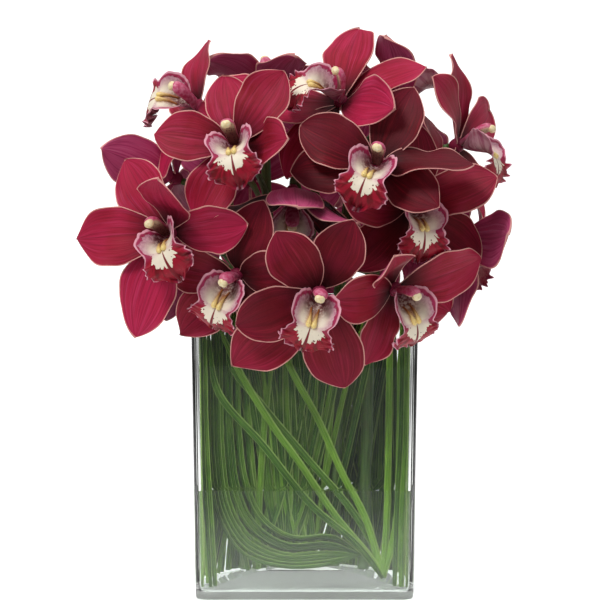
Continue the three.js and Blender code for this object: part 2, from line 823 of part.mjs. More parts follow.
// Each tepal takes the least bend that keeps it clear of everything placed before it.
function placedTepals(bloom, frame, placed, choices) {
  return TEPAL_KINDS.map((_, index) => {
    const bend = choices.find((choice) => {
      const geometry = tepalSheet(frame, bloom, index, choice, TEST_CLEARANCE);
      return !touches({ solid: solid(geometry), box: boundsOf(geometry) }, placed);
    });
    return tepalSheet(frame, bloom, index, bend, 0);
  });
}

const bouquet = new THREE.Group();
bouquet.name = 'orchid_bouquet_in_vase';

function addPiece(name, geometry, look) {
  geometry.computeVertexNormals();
  const mesh = new THREE.Mesh(geometry, new THREE.MeshStandardMaterial(COLOURS[look]));
  mesh.name = name;
  bouquet.add(mesh);
}

const numbered = (stem, k) => `${stem}_${String(k).padStart(2, '0')}`;
const frames = BLOOMS.map(bloomFrame);
const stems = STEMS.map((stem) => stemSolid(stem, frames));
const sheaves = SHEAVES.map(sheafSolid);
const lips = frames.map(lipSolid);
const vaseGeometry = vase();

const obstacles = [solid(vaseGeometry), ...stems, ...sheaves, ...lips].map(obstacle);

addPiece('vase', vaseGeometry, 'glass');
addPiece('water', water([...STEMS.map(stemCutter), ...SHEAVES.map(sheafSlot)]), 'water');
stems.forEach((piece, k) => addPiece(numbered('flower_stem', k + 1), mainBody(piece), 'stem'));
sheaves.forEach((piece, k) => addPiece(SHEAVES[k].name, mainBody(piece), 'grass'));

const choices = bendChoices();
BLOOMS.forEach((bloom, k) => {
  const owner = numbered('bloom', k + 1);
  const body = fused([hubGeometry(frames[k]), ...placedTepals(bloom, frames[k], obstacles, choices)]);
  obstacles.push(obstacle(body));
  addPiece(owner, mainBody(body), 'tepal');
  addPiece(`${owner}_lip`, mainBody(lips[k]), 'lip');
});

export default bouquet;
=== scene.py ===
# Looks for the burgundy cymbidium bouquet in its glass vase.
# Sizes are in millimetres until objects are made from them. Depths of bumps are in metres.

import math

import bpy
import numpy as np
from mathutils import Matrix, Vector
from mathutils.kdtree import KDTree


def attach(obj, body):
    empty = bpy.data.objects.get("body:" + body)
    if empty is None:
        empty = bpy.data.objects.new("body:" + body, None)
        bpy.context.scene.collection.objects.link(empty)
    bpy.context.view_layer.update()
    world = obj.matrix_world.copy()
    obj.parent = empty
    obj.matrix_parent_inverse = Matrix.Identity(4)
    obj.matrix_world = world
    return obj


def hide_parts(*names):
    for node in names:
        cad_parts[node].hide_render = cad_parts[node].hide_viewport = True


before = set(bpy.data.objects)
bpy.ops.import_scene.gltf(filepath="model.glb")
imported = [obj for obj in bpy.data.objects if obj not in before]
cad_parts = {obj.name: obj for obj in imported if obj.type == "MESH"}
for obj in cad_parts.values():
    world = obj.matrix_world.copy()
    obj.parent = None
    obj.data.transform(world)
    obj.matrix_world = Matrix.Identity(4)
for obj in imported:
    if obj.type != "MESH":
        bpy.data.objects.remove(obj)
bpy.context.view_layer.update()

MM = 0.001

# Ranges that phases of waves and seeds of patterns are drawn from
PHASES = (0, 6.28)
SEEDS = (0, 50)

# Camera
CAMERA_PLACE = (-3.1, -1000, 248)
CAMERA_PITCH = 2.75
CAMERA_LENS = 87.42
CAMERA_SENSOR = 36

# White paper under the vase, curved up into a wall behind it
FLOOR_DEPTH = -0.3
FLOOR_HALF_WIDTH = 1500
FLOOR_BACK = 1700
WALL_HALF_WIDTH = 760
WALL_CURVE = 500
WALL_TOP = 1500

# Lamps: place, point that it faces, width and height, power in watts
LAMPS = {
    "key": ((-700, -1200, 1400), (0, 0, 240), (500, 500), 19),
    "fill": ((1200, -1300, 400), (0, 0, 220), (900, 1000), 2),
    "top": ((100, -100, 1500), (0, 0, 250), (900, 700), 4.5),
}

# The room's light is dim straight in front of the vase and brighter all round: the y of the direction
# where it starts and stops to rise, and its strength at each.
ROOM_LIGHT = (-0.95, -0.6, 0.16, 0.5)

# Vase
VASE_HEIGHT = 203
VASE_TOP = (152, 76)
VASE_FOOT = (147, 73.5)
VASE_CORNER_RADIUS = 9
VASE_CORNER_STEPS = 10
VASE_WALL = 4.5
VASE_RIM_BEVEL = 1
VASE_FOOT_BEVEL = 1.5
FLOOR_EDGE_HEIGHT = 6
FLOOR_RISE = 13
FLOOR_SHARES = (1, 0.97, 0.92, 0.85, 0.77, 0.68, 0.58, 0.47, 0.35, 0.22, 0.1)
INNER_WALL_FOOT = FLOOR_EDGE_HEIGHT + 4
INNER_WALL_TOP = VASE_HEIGHT - 6

# Water, whose skin lies just inside the glass and curls up where it meets the wall
WATER_LEVEL = 74
WATER_OVERLAP = 0.05
WATER_CURL = 0.3
WATER_CURL_WIDTH = 1.6
STANDING_GAP = 0.3

# Flower stems
STEM_DIAMETER = 8
STALK_DIAMETER = 4.4

# Grass blades
BLADE_ROWS = 32
BLADE_COLUMNS = 7
BLADE_FOLD = 0.22
BLADE_HALF_THICKNESS = 0.22
BLADE_TILTS = (0.21, -0.17)
BENT_SLIMNESS = 0.62
LOOSE_REACH = 64

# Hubs: depth and radius of each ring
HUB_BACK = 6
HUB_RINGS = [
    (-HUB_BACK, 2.2), (-5.2, 3.2), (-3.6, 4.3), (-1.6, 4.9), (0.4, 5.0), (2.0, 4.6), (3.0, 3.2), (3.4, 1.2),
]
HUB_SIDES = 14

# Tepals
TEPAL_LENGTH = 58
TEPAL_WIDTH = 35
TEPAL_ROOT = 3.2
TEPAL_THICKNESS = 1.15
TEPAL_EDGE_THICKNESS = 0.6
TEPAL_STEPS = 20
TEPAL_TIP = 1.045
TEPAL_COLUMNS = 21

SEPAL = {"rise": 8, "bend": 24, "width": 0.96, "cup": 0.16, "root": -1}
PETAL = {"rise": 24, "bend": 36, "width": 1, "cup": 0.12, "root": 0.4}
TEPAL_KINDS = [SEPAL, PETAL, PETAL, SEPAL, SEPAL]

# Each tepal of a usual bloom: angle clockwise from the top, length, lift forward, twist.
USUAL_TEPALS = [(0, 1, 0, 0), (57, 1, 0, 0), (-57, 1, 0, 0), (138, 1, 0, 0), (-138, 1, 0, 0)]

# The bends that a tepal can have where it gives way to its neighbours: lift forward, swing sideways,
# length. The last number is the width of the tip that the bend is found from.
LIFTS = (0, 10, -10, 20, -20, 30, -30, 40, -40, 50, -50, 60, 70)
SWINGS = (0, 9, -9, 17, -17)
LENGTHS = (1, 0.86, 0.72, 0.6)
TIP_WIDTH = 0.28

# Lips
LIP_THICKNESS = 0.8
LIP_MESH = (84, 49)
LIP_END = 0.93
LIP_WIDEST = 0.64
LIP_REACH = 52

# The lip's rows from its root to its curled end: share of the way, height and depth of the middle line,
# half width, how far the edges stand up.
LIP_ROWS = np.array([
    [0.00, -2.8, 3.6, 2.4, 1.5],
    [0.09, -4.6, 7.0, 6.6, 10.6],
    [0.18, -6.2, 11.0, 10.0, 13.0],
    [0.27, -7.6, 15.4, 13.4, 12.4],
    [0.36, -9.4, 20.0, 15.4, 9.6],
    [0.48, -15.0, 25.0, 14.6, 3.2],
    [0.7, -25.0, 25.0, 18.0, -1.5],
    [0.88, -32.0, 18.5, 16.0, -2.5],
    [1.00, -34.0, 12.0, 12.0, -2.5],
])

# Half width of a lip's cream patch along it
CREAM_SHARES = (0, 0.4, 0.46, 0.52, 0.58, 0.66, 0.74, 1)
CREAM_WIDTHS = (40, 40, 12, 10, 7.5, 4.2, 0, -12)

# The column's middle line as height and depth, its radius along it, and the anther cap at its end
COLUMN_LINE = [(-0.6, 2.5), (1.4, 6), (4.0, 11), (5.9, 16), (6.9, 20), (7.1, 23), (6.6, 25)]
COLUMN_SHARES = (0, 0.4, 0.75, 0.9, 1)
COLUMN_RADII = (3.6, 3.5, 4.3, 3.9, 2.2)
COLUMN_RINGS = 26
COLUMN_SIDES = 22
CAP_HEIGHT = 5.9
CAP_DEPTH = 24.9
CAP_RADII = (3.3, 2.8, 2.6)
CAP_RINGS = 14
CAP_SIDES = 20

# Each bloom: hub position, turn to the right and tilt upward of its face, clockwise roll, size, and
# its tepals where these differ from the usual.
BLOOM_KEYS = ("hub", "turn", "tilt", "roll", "size", "tepals")
BLOOM_ROWS = [
    ((9, -82, 209), -4, -20, 18, 1.1, [
        (7, 0.74, 0, 0), (-49, 0.72, 0, 0), (-128, 0.82, 16, 0), (150, 1.04, 0, 0), (-150, 1.12, -4, 0),
    ]),
    ((-44, -66, 303), -10, 12, -13, 0.98, [
        (0, 0.76, 0, 0), (47, 0.9, 0, 0), (-71, 0.86, 0, 0), (112, 0.9, 60, 0), (-141, 0.9, 0, 0),
    ]),
    ((46, -70, 290), -8, 8, 20, 1.04, [
        (4, 0.84, 0, 0), (72, 0.95, 0, -60), (-84, 0.84, 0, 0), (106, 0.76, 20, 0), (-114, 0.86, 0, 0),
    ]),
    ((-87, -60, 246), -20, 2, -28, 1.12, [
        (-8, 0.84, 0, 0), (48, 0.8, 62, 0), (-66, 0.92, 0, 0), (112, 0.74, 0, 30), (-131, 1.04, 0, 0),
    ]),
    ((58, -60, 210), 34, -22, -16, 1.04, [
        (-24, 0.8, 48, 0), (84, 1, 0, 0), (-78, 0.8, 0, 0), (126, 0.9, 0, 0), (-146, 0.8, 20, 0),
    ]),
    ((-44, -56, 219), -24, -22, 26, 1, [
        (0, 0.85, 0, 0), (55, 0.8, 0, 0), (-84, 0.85, 0, 0), (130, 0.95, 0, 0), (-157, 0.95, 0, 0),
    ]),
    ((24, -38, 332), -30, 40, 56, 1, [
        (0, 0.95, 0, 0), (57, 0.9, 10, 30), (-60, 1, 0, 0), (150, 1, 0, 0), (-162, 1, 20, 0),
    ]),
    ((69, -46, 262), 20, -2, 4, 1, [
        (0, 0.9, 0, 0), (62, 0.95, 10, -40), (-75, 0.9, 0, 0), (118, 1, 0, 0), (-138, 0.9, 0, 0),
    ]),
    ((-70, -28, 330), -62, 24, 70, 0.98, [
        (0, 0.85, 0, 0), (57, 0.85, 0, 0), (-90, 0.84, 0, 0), (138, 0.9, 0, 0), (-142, 0.95, 0, 0),
    ]),
    ((103, -18, 305), 64, 10, 8, 1),
    ((103, 4, 242), 108, -14, -12, 1.08),
    ((66, 8, 336), 112, 52, 20, 0.95),
    ((-26, 20, 342), -160, 66, 0, 0.96),
    ((-90, 10, 284), -100, 22, 30, 1),
    ((-84, 34, 226), -126, -18, -10, 1),
    ((-40, 64, 284), -170, 10, 6, 0.96),
    ((34, 66, 290), 168, 12, -18, 0.96),
    ((-6, 70, 222), 184, -18, 12, 1),
    ((68, 50, 236), 138, -8, 10, 1),
    ((-8, -32, 272), -6, -74, 10, 1.1, [
        (0, 0.95, 50, 0), (60, 0.95, 30, 0), (-60, 0.95, 30, 0), (138, 0.9, 0, 0), (-138, 0.9, 0, 0),
    ]),
]
BLOOMS = [dict(zip(BLOOM_KEYS, row)) for row in BLOOM_ROWS]

# How dark a red each bloom is, from 0 to 1.5. Bloom 20, deep in the middle of the bouquet, is darkest as
# painted shade.
USUAL_TONE = 0.35
BLOOM_TONES = {1: 0.8, 3: 1.15, 4: 0.05, 5: 0.45, 6: 0.75, 7: 0.2, 8: 0.7, 9: 0.1, 20: 1.5}

# Each flower stem: its foot, where it leaves the vase, its top, and the blooms on it with the height
# where each one's stalk starts.
STEM_KEYS = ("foot", "neck", "top", "blooms")
STEM_ROWS = [
    ((-40, 2), (-46, 2), (-54, 2, 284), [(4, 222), (9, 276), (14, 262), (15, 214)]),
    ((-20, -2), (-24, -1), (-27, 4, 310), [(2, 270), (6, 214), (13, 304), (16, 250)]),
    ((0, 2), (0, 1), (10, 2, 298), [(1, 214), (7, 294), (18, 216), (20, 244)]),
    ((20, -2), (24, -1), (34, 4, 304), [(3, 262), (5, 214), (12, 298), (17, 258)]),
    ((40, 2), (46, 1), (58, 4, 278), [(8, 236), (10, 272), (11, 226), (19, 216)]),
]
STEMS = [dict(zip(STEM_KEYS, row)) for row in STEM_ROWS]

# Each sheaf of grass: depth in the vase, blade width, the x of the joint on the floor, how far above the
# floor it is, each blade's points as x, z pairs from the joint upward, and each blade's layer in depth
# where they aren't all in one.
SHEAF_KEYS = ("depth", "width", "joint", "seat", "blades", "layers")
SHEAF_ROWS = {
    "grass_bent": (-14, 4.4, 38, 12, [
        [(14, 21), (-16, 20), (-42, 29), (-58, 54), (-63.5, 84), (-65, 133), (-65, 190)],
        [(14, 27.5), (-15, 26.5), (-38, 37), (-52, 60), (-57, 90), (-58.5, 138), (-58, 196)],
        [(16, 34), (-12, 33), (-33, 45), (-46, 68), (-50.5, 98), (-52, 142), (-51, 188)],
        [(19, 40.5), (-8, 40), (-28, 53), (-39, 76), (-43.5, 106), (-45, 146), (-44, 197)],
    ]),
    "grass_slanted": (-24, 4.8, 53, 2.2, [
        [(34, 38), (4, 64), (-28, 104), (-58, 140), (-64, 178)],
        [(44, 28), (20, 57), (-3, 91), (-19, 113), (-43, 152), (-62, 194)],
        [(46, 36), (32, 59), (2, 94), (-29, 131), (-50, 160), (-46, 196)],
        [(41, 54), (26, 83), (9, 121), (-10, 157), (-22, 192)],
        [(55.5, 60), (56.5, 110), (57, 160), (58, 196)],
        [(61.5, 50), (64, 110), (64.5, 160), (65, 190)],
    ], [-1.6, 0, 1.6, 0, 0, 0]),
    "grass_upright": (-8.6, 4.6, -14, 0.6, [
        [(-24, 60), (-36, 130), (-50, 194)],
        [(-15, 70), (-20, 130), (-28, 196)],
        [(-6, 70), (0, 130), (4, 190)],
        [(2, 62), (18, 130), (30, 196)],
    ]),
    "grass_back_left": (12, 5, -46, 0.6, [
        [(-54, 70), (-61, 130), (-64, 192)],
        [(-46, 70), (-50, 130), (-52, 198)],
        [(-38, 70), (-36, 130), (-38, 190)],
        [(-31, 66), (-22, 130), (-20, 196)],
    ]),
    "grass_back_middle": (18.5, 5, 4, 0.6, [
        [(-10, 66), (-30, 130), (-48, 194)],
        [(-2, 70), (-12, 130), (-20, 190)],
        [(8, 70), (8, 130), (6, 198)],
        [(18, 66), (30, 130), (40, 192)],
    ]),
    "grass_back_right": (25, 5, 48, 0.6, [
        [(34, 62), (14, 130), (-4, 192)],
        [(41, 70), (30, 130), (24, 198)],
        [(50, 70), (52, 130), (50, 190)],
        [(58, 66), (62, 130), (63, 194)],
    ]),
}
SHEAVES = {name: dict(zip(SHEAF_KEYS, row)) for name, row in SHEAF_ROWS.items()}

# Finer blades between two neighbours of a sheaf and loose ones beside its joint, and which of a sheaf's
# own blades are light.
FILLERS = {"grass_bent": (2, 0), "grass_slanted": (0, 0)}
USUAL_FILLERS = (4, 8)
LIGHT_BLADES = {"grass_slanted": (1, 3, 4, 5)}

# Blades of the slanted sheaf that lean against the glass: depth, width, tilt, tone and points as x, z
# pairs.
FRONT_BLADES = [
    (-11.2, 3.6, 0.03, 0.95, [(-65, 8.5), (-65.4, 40), (-65.5, 70), (-65.5, 134), (-65, 196)]),
    (-30.2, 2.8, -1.05, 0.6, [(-67.8, 9), (-68.6, 74), (-69.35, 134), (-70.1, 195)]),
    (-30.2, 2.8, 1.05, 0.6, [(67.8, 9), (68.6, 74), (69.35, 134), (70.1, 193)]),
    (-27.5, 3.0, 0.1, 0.1, [(-63, 8.5), (-65.2, 50), (-67.9, 95), (-68.9, 140), (-69.3, 196)]),
    (-26.2, 3.4, -0.1, 0.3, [(-60, 9), (-63, 60), (-65.6, 105), (-66.6, 150), (-67, 197)]),
    (-27.5, 4.0, -0.1, 0.4, [(64.8, 8.5), (65.4, 60), (67.7, 100), (68.4, 150), (68.8, 196)]),
    (-26.0, 3.6, 0.1, 0.12, [(60.5, 9), (62, 60), (64.5, 110), (65.2, 150), (65.4, 195)]),
]

# Blades that stand edge on along a side wall: their sheaf, the side, and each one's depth.
SIDE_BLADES = [
    ("grass_bent", -1, (-24, -19, -7)),
    ("grass_back_left", -1, (4, 10, 17, 24)),
    ("grass_bent", 1, (-27, -20, -12)),
    ("grass_back_right", 1, (-4, 4, 12, 20)),
]
SIDE_TONES = (0.15, 0.5, 0.05, 0.35)
SIDE_TILT = 1.3
SIDE_WIDTH = 5.0


# Small tools

def unit(v):
    return v / np.linalg.norm(v)


def unit_rows(rows):
    return rows / np.linalg.norm(rows, axis=-1, keepdims=True)


def smoothstep(x, low, high):
    t = np.clip((np.asarray(x, float) - low) / (high - low), 0, 1)
    return t * t * (3 - 2 * t)


def bump_curve(x, centre, width):
    return np.exp(-(((x - centre) / width) ** 2))


def circle(sides):
    return np.linspace(0, 2 * math.pi, sides, endpoint=False)


# Shares across a tepal or a lip from -1 to 1, closer together at its edges.
def across_shares(columns):
    return np.sin(np.linspace(-1, 1, columns) * math.pi / 2)


# Points, faces and values of several surfaces, gathered into one mesh.
class Pieces:
    def __init__(self):
        self.points = []
        self.faces = []
        self.slots = []
        self.values = {}
        self.count = 0

    def add(self, points, faces, slot=0, **values):
        points = np.asarray(points, float).reshape(-1, 3)
        for name in dict.fromkeys([*self.values, *values]):
            if name not in self.values:
                self.values[name] = [np.zeros(self.count)]
            value = np.broadcast_to(np.asarray(values.get(name, 0.0), float).ravel(), (len(points),))
            self.values[name].append(value)
        self.points.append(points)
        self.faces += [tuple(int(i) + self.count for i in face) for face in faces]
        self.slots += [slot] * len(faces)
        self.count += len(points)

    # A thin closed skin from the grids of its front and back points.
    def add_skin(self, front, back, **values):
        grid = front.shape[:2]
        spread = {name: np.broadcast_to(value, (2, *grid)) for name, value in values.items()}
        self.add(np.concatenate([front.reshape(-1, 3), back.reshape(-1, 3)]), skin_faces(*grid), **spread)

    # A closed tube through rings of points, with a point in the middle of each end.
    def add_tube(self, rings, ends, slot=0, **values):
        points = np.concatenate([*rings, ends])
        self.add(points, tube_faces(len(rings), len(rings[0])), slot, **values)


# Tells a skin's front from its back.
SKIN_SIDES = np.array([0.0, 1.0])[:, None, None]


def skin_faces(rows, columns):
    faces = []
    back = rows * columns
    for i in range(rows - 1):
        for j in range(columns - 1):
            a = i * columns + j
            d = a + columns
            faces.append((a, a + 1, d + 1, d))
            faces.append((back + d, back + d + 1, back + a + 1, back + a))
    border = list(range(columns - 1))
    border += [i * columns + columns - 1 for i in range(rows - 1)]
    border += [(rows - 1) * columns + j for j in range(columns - 1, 0, -1)]
    border += [i * columns for i in range(rows - 1, 0, -1)]
    for k, a in enumerate(border):
        b = border[(k + 1) % len(border)]
        faces.append((a, back + a, back + b, b))
    return faces


def tube_faces(rings, sides):
    faces = []
    for i in range(rings - 1):
        for j in range(sides):
            k = (j + 1) % sides
            faces.append((i * sides + j, i * sides + k, (i + 1) * sides + k, (i + 1) * sides + j))
    first = rings * sides
    last = (rings - 1) * sides
    for j in range(sides):
        k = (j + 1) % sides
        faces.append((first, k, j))
        faces.append((first + 1, last + j, last + k))
    return faces


# A value of each ring for all its points and for the two ends.
def ring_values(shares, sides):
    return np.concatenate([np.repeat(shares, sides), shares[[0, -1]]])


def mesh_object(name, pieces, materials):
    mesh = bpy.data.meshes.new(name)
    points = np.concatenate(pieces.points) * MM
    mesh.from_pydata(points.tolist(), [], pieces.faces)
    for material in materials:
        mesh.materials.append(material)
    mesh.polygons.foreach_set("material_index", pieces.slots)
    mesh.polygons.foreach_set("use_smooth", [True] * len(mesh.polygons))
    for key, parts in pieces.values.items():
        made = mesh.attributes.new(key, "FLOAT", "POINT")
        made.data.foreach_set("value", np.concatenate(parts).astype(np.float32))
    mesh.update()
    item = bpy.data.objects.new(name, mesh)
    bpy.context.scene.collection.objects.link(item)
    return item


# A finer piece in place of the plain one of a node.
def add_piece(name, node, pieces, materials):
    item = mesh_object(name, pieces, materials)
    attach(item, "root")
    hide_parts(node)


# A smooth centripetal curve through points.
class Path:
    def __init__(self, points, samples=240):
        points = [np.asarray(p, float) for p in points]
        padded = [2 * points[0] - points[1]] + points + [2 * points[-1] - points[-2]]
        line = []
        for i in range(len(points) - 1):
            line += [self.between(padded[i:i + 4], w) for w in np.linspace(0, 1, samples, endpoint=False)]
        line.append(points[-1])
        self.line = np.array(line)
        steps = np.linalg.norm(np.diff(self.line, axis=0), axis=1)
        self.reach = np.concatenate([[0], np.cumsum(steps)])

    @staticmethod
    def between(p, w):
        d = [max(np.linalg.norm(p[k + 1] - p[k]), 1e-6) ** 0.5 for k in range(3)]
        start = (p[1] - p[0]) / d[0] - (p[2] - p[0]) / (d[0] + d[1]) + (p[2] - p[1]) / d[1]
        end = (p[2] - p[1]) / d[1] - (p[3] - p[1]) / (d[1] + d[2]) + (p[3] - p[2]) / d[2]
        start, end = start * d[1], end * d[1]
        square = -3 * p[1] + 3 * p[2] - 2 * start - end
        cube = 2 * p[1] - 2 * p[2] + start + end
        return p[1] + start * w + square * w ** 2 + cube * w ** 3

    def at(self, shares):
        distance = np.asarray(shares, float) * self.reach[-1]
        return np.stack([np.interp(distance, self.reach, self.line[:, k]) for k in range(3)], axis=-1)

    def along(self, shares, step=0.004):
        return unit_rows(self.at(np.clip(shares + step, 0, 1)) - self.at(np.clip(shares - step, 0, 1)))

    def at_height(self, height):
        return self.line[np.argmin(np.abs(self.line[:, 2] - height))]


# Rings of points round a line, carried along it without twist, and the line's two ends.
def rings_round(centres, radii, sides):
    centres = np.asarray(centres, float)
    tangents = unit_rows(np.gradient(centres, axis=0))
    helper = (1, 0, 0) if abs(tangents[0][0]) < 0.8 else (0, 1, 0)
    side = unit(np.cross(tangents[0], helper))
    rings = []
    for centre, tangent, radius in zip(centres, tangents, radii):
        side = unit(side - tangent * np.dot(side, tangent))
        other = np.cross(tangent, side)
        rings.append([centre + radius * (math.cos(a) * side + math.sin(a) * other) for a in circle(sides)])
    return rings, centres[[0, -1]]


# Materials

# The inputs and the output of a mix that carry colours
MIX_INPUTS = (6, 7)
MIX_RESULT = 2


# Builds a material's nodes from plain calls.
class Paint:
    def __init__(self, name):
        self.material = bpy.data.materials.new(name)
        self.material.use_nodes = True
        self.tree = self.material.node_tree
        self.tree.nodes.clear()
        self.output = self.tree.nodes.new("ShaderNodeOutputMaterial")
        self.place = self.node("ShaderNodeTexCoord").outputs["Object"]

    def node(self, kind, **settings):
        made = self.tree.nodes.new(kind)
        for key, value in settings.items():
            setattr(made, key, value)
        return made

    def feed(self, socket, value):
        if isinstance(value, bpy.types.NodeSocket):
            self.tree.links.new(value, socket)
        elif isinstance(value, tuple) and socket.type == "RGBA":
            socket.default_value = (*value, 1)
        else:
            socket.default_value = value

    # A node with its inputs fed in order, or by name.
    def fed(self, kind, values, **settings):
        made = self.node(kind, **settings)
        sockets = values if isinstance(values, dict) else range(len(values))
        for key in sockets:
            self.feed(made.inputs[key], values[key])
        return made

    def value(self, name):
        return self.node("ShaderNodeAttribute", attribute_name=name).outputs["Fac"]

    def values(self, names):
        return [self.value(name) for name in names.split()]

    def math(self, operation, *values):
        return self.fed("ShaderNodeMath", values, operation=operation).outputs[0]

    def size(self, value):
        return self.math("ABSOLUTE", value)

    def plus(self, a, b):
        return self.math("ADD", a, b)

    def times(self, first, *others):
        for other in others:
            first = self.math("MULTIPLY", first, other)
        return first

    def scaled(self, value, factor, start):
        return self.math("MULTIPLY_ADD", value, factor, start)

    def noise(self, vector, scale, detail=2.0, roughness=0.5):
        values = {"Vector": vector, "Scale": scale, "Detail": detail, "Roughness": roughness}
        return self.fed("ShaderNodeTexNoise", values).outputs["Fac"]

    # Noise drawn out into streaks: fine one way, long the other.
    def stripes(self, across, fine, along, long, seed):
        vector = self.fed("ShaderNodeCombineXYZ", (self.times(across, fine), self.times(along, long), seed))
        return self.noise(vector.outputs[0], 1.0, 3.0)

    def spots(self, scale):
        return self.fed("ShaderNodeTexVoronoi", {"Vector": self.place, "Scale": scale}).outputs["Distance"]

    def range(self, value, low, high, to_low=0.0, to_high=1.0):
        values = {"Value": value, "From Min": low, "From Max": high, "To Min": to_low, "To Max": to_high}
        return self.fed("ShaderNodeMapRange", values, interpolation_type="SMOOTHSTEP").outputs["Result"]

    # From 1 down to 0 between two limits.
    def fall(self, value, low, high, top=1.0, bottom=0.0):
        return self.range(value, low, high, top, bottom)

    # One colour with another over it where a value is high, at part strength.
    def over(self, colour, other, value, strength=None):
        share = value if strength is None else self.times(value, strength)
        values = {"Factor": share, MIX_INPUTS[0]: colour, MIX_INPUTS[1]: other}
        return self.fed("ShaderNodeMix", values, data_type="RGBA").outputs[MIX_RESULT]

    def bump(self, height, depth, strength):
        values = {"Height": height, "Distance": depth, "Strength": strength}
        return self.fed("ShaderNodeBump", values).outputs["Normal"]

    def surface(self, colour, roughness, **others):
        values = {"Base Color": colour, "Roughness": roughness}
        for key, value in others.items():
            values[key.replace("_", " ").title().replace("Ior", "IOR")] = value
        self.feed(self.output.inputs["Surface"], self.fed("ShaderNodeBsdfPrincipled", values).outputs[0])
        return self.material


def tepal_material():
    paint = Paint("tepal")
    over, span, fall = paint.over, paint.range, paint.fall
    along, across, edge, face, tone, seed = paint.values("along across edge face tone seed")
    streaks = paint.stripes(across, 9.0, along, 1.3, seed)
    veins = paint.stripes(across, 15.0, along, 1.6, seed)
    cloud = paint.noise(paint.place, 55.0, 3.0)
    grain = paint.noise(paint.place, 1400.0, 2.0)
    dark_vein_and_shade = (0.03, 0.004, 0.005)
    rich = (0.32, 0.012, 0.028)
    pale_red_and_highlight = (0.47, 0.018, 0.076)
    dark_red_and_shade = (0.045, 0.004, 0.006)
    front = over(rich, pale_red_and_highlight, fall(tone, 0.0, 0.4, 0.6))
    # Cloudy patches of paler red are painted highlights.
    front = over(front, pale_red_and_highlight, span(cloud, 0.4, 0.7), 0.5)
    front = over(front, pale_red_and_highlight, span(along, 0.55, 1.0), 0.4)
    # Darker blooms go towards a near black red, which for bloom 20 is painted shade.
    front = over(front, dark_red_and_shade, span(tone, 0.0, 1.5, 0.0, 0.95))
    front = over(front, over(front, dark_vein_and_shade, 0.5), span(veins, 0.49, 0.63), 0.55)
    sheen = over((0.62, 0.06, 0.17), rich, tone)
    front = over(front, sheen, span(streaks, 0.5, 0.72), 0.42)
    # Towards its root each tepal darkens to near black: painted shade deep in the bloom.
    front = over(dark_vein_and_shade, front, span(along, -0.02, 0.5))
    outside = over((0.36, 0.026, 0.09), (0.52, 0.075, 0.19), span(along, 0.0, 1.0))
    outside = over(outside, (0.27, 0.012, 0.07), span(veins, 0.46, 0.62), 0.45)
    outside = over(outside, (0.64, 0.19, 0.34), span(streaks, 0.5, 0.8), 0.45)
    colour = over(front, outside, face)
    colour = over(colour, (0.1, 0.006, 0.016), fall(paint.size(across), 0.0, 0.05), 0.35)
    wander = paint.scaled(paint.noise(paint.place, 240.0), 0.5, 0.22)
    margin = fall(edge, wander, paint.plus(wander, 0.4))
    colour = over(colour, (0.8, 0.4, 0.35), margin, 0.82)
    relief = paint.plus(paint.times(veins, 0.8), paint.times(grain, 0.22))
    return paint.surface(
        colour,
        paint.scaled(cloud, 0.16, 0.44),
        specular_ior_level=0.11,
        normal=paint.bump(relief, 0.0005, 0.6),
    )


def lip_material():
    paint = Paint("lip")
    over, span, fall, times = paint.over, paint.range, paint.fall, paint.times
    along, edge, face, seed, lobe, cream, side = paint.values("along edge face seed lobe cream side")
    away = paint.size(side)
    rays = paint.stripes(paint.value("ray"), 6.0, paint.value("reach"), 0.07, seed)
    blotch = paint.noise(paint.place, 420.0, 3.0, 0.6)

    pale = over((0.56, 0.42, 0.36), (0.83, 0.74, 0.59), span(along, 0.15, 0.5))
    mauve = over((0.6, 0.33, 0.4), (0.43, 0.13, 0.23), span(blotch, 0.35, 0.7))
    flush = times(fall(edge, 2.0, 12.0, 0.9), paint.math("SUBTRACT", 1.0, lobe))
    inner = over(pale, mauve, flush)
    ochre = times(span(along, 0.24, 0.32), fall(along, 0.4, 0.5))
    ochre = times(ochre, fall(away, 2.0, 5.5), span(rays, 0.4, 0.6, 0.35, 0.9))
    inner = over(inner, (0.43, 0.17, 0.035), ochre)
    # Deep in the throat, under the column, the cream darkens in blotches as painted shade.
    throat = times(fall(along, 0.2, 0.42), span(blotch, 0.36, 0.56))
    inner = over(inner, (0.15, 0.02, 0.026), throat, fall(away, 4.0, 9.0, 0.9, 0.12))

    jag = times(paint.math("SUBTRACT", rays, 0.5), paint.scaled(lobe, 11.0, 4.0))
    depth = paint.plus(cream, paint.plus(jag, paint.scaled(blotch, 3.0, -1.5)))
    crimson = over((0.33, 0.024, 0.09), (0.32, 0.005, 0.022), lobe)
    crimson = over(crimson, (0.15, 0.003, 0.008), span(rays, 0.44, 0.64))
    crimson = over(crimson, (0.4, 0.03, 0.09), fall(edge, 0.5, 3.5), 0.6)
    colour = over(crimson, inner, span(depth, -0.35, 0.35))

    near = times(span(depth, 0.2, 1.0), fall(depth, 3.0, 6.0))
    spots = times(fall(paint.spots(360.0), 0.16, 0.24), near, lobe)
    colour = over(colour, (0.12, 0.006, 0.014), spots)
    breadth = paint.scaled(along, 3.2, -1.25)
    stripe = fall(paint.math("SUBTRACT", away, breadth), -0.15, 0.25)
    colour = over(colour, (0.19, 0.008, 0.016), stripe, span(along, 0.44, 0.5))
    colour = over(colour, (0.78, 0.4, 0.48), fall(edge, 0.55, 1.10), 0.85)
    outside = over((0.56, 0.3, 0.34), (0.36, 0.06, 0.14), span(rays, 0.4, 0.65))
    colour = over(colour, outside, face, 0.75)
    relief = paint.plus(times(rays, 0.7), times(blotch, 0.4))
    return paint.surface(
        colour,
        paint.scaled(blotch, 0.15, 0.38),
        specular_ior_level=0.22,
        normal=paint.bump(relief, 0.0006, 0.6),
    )


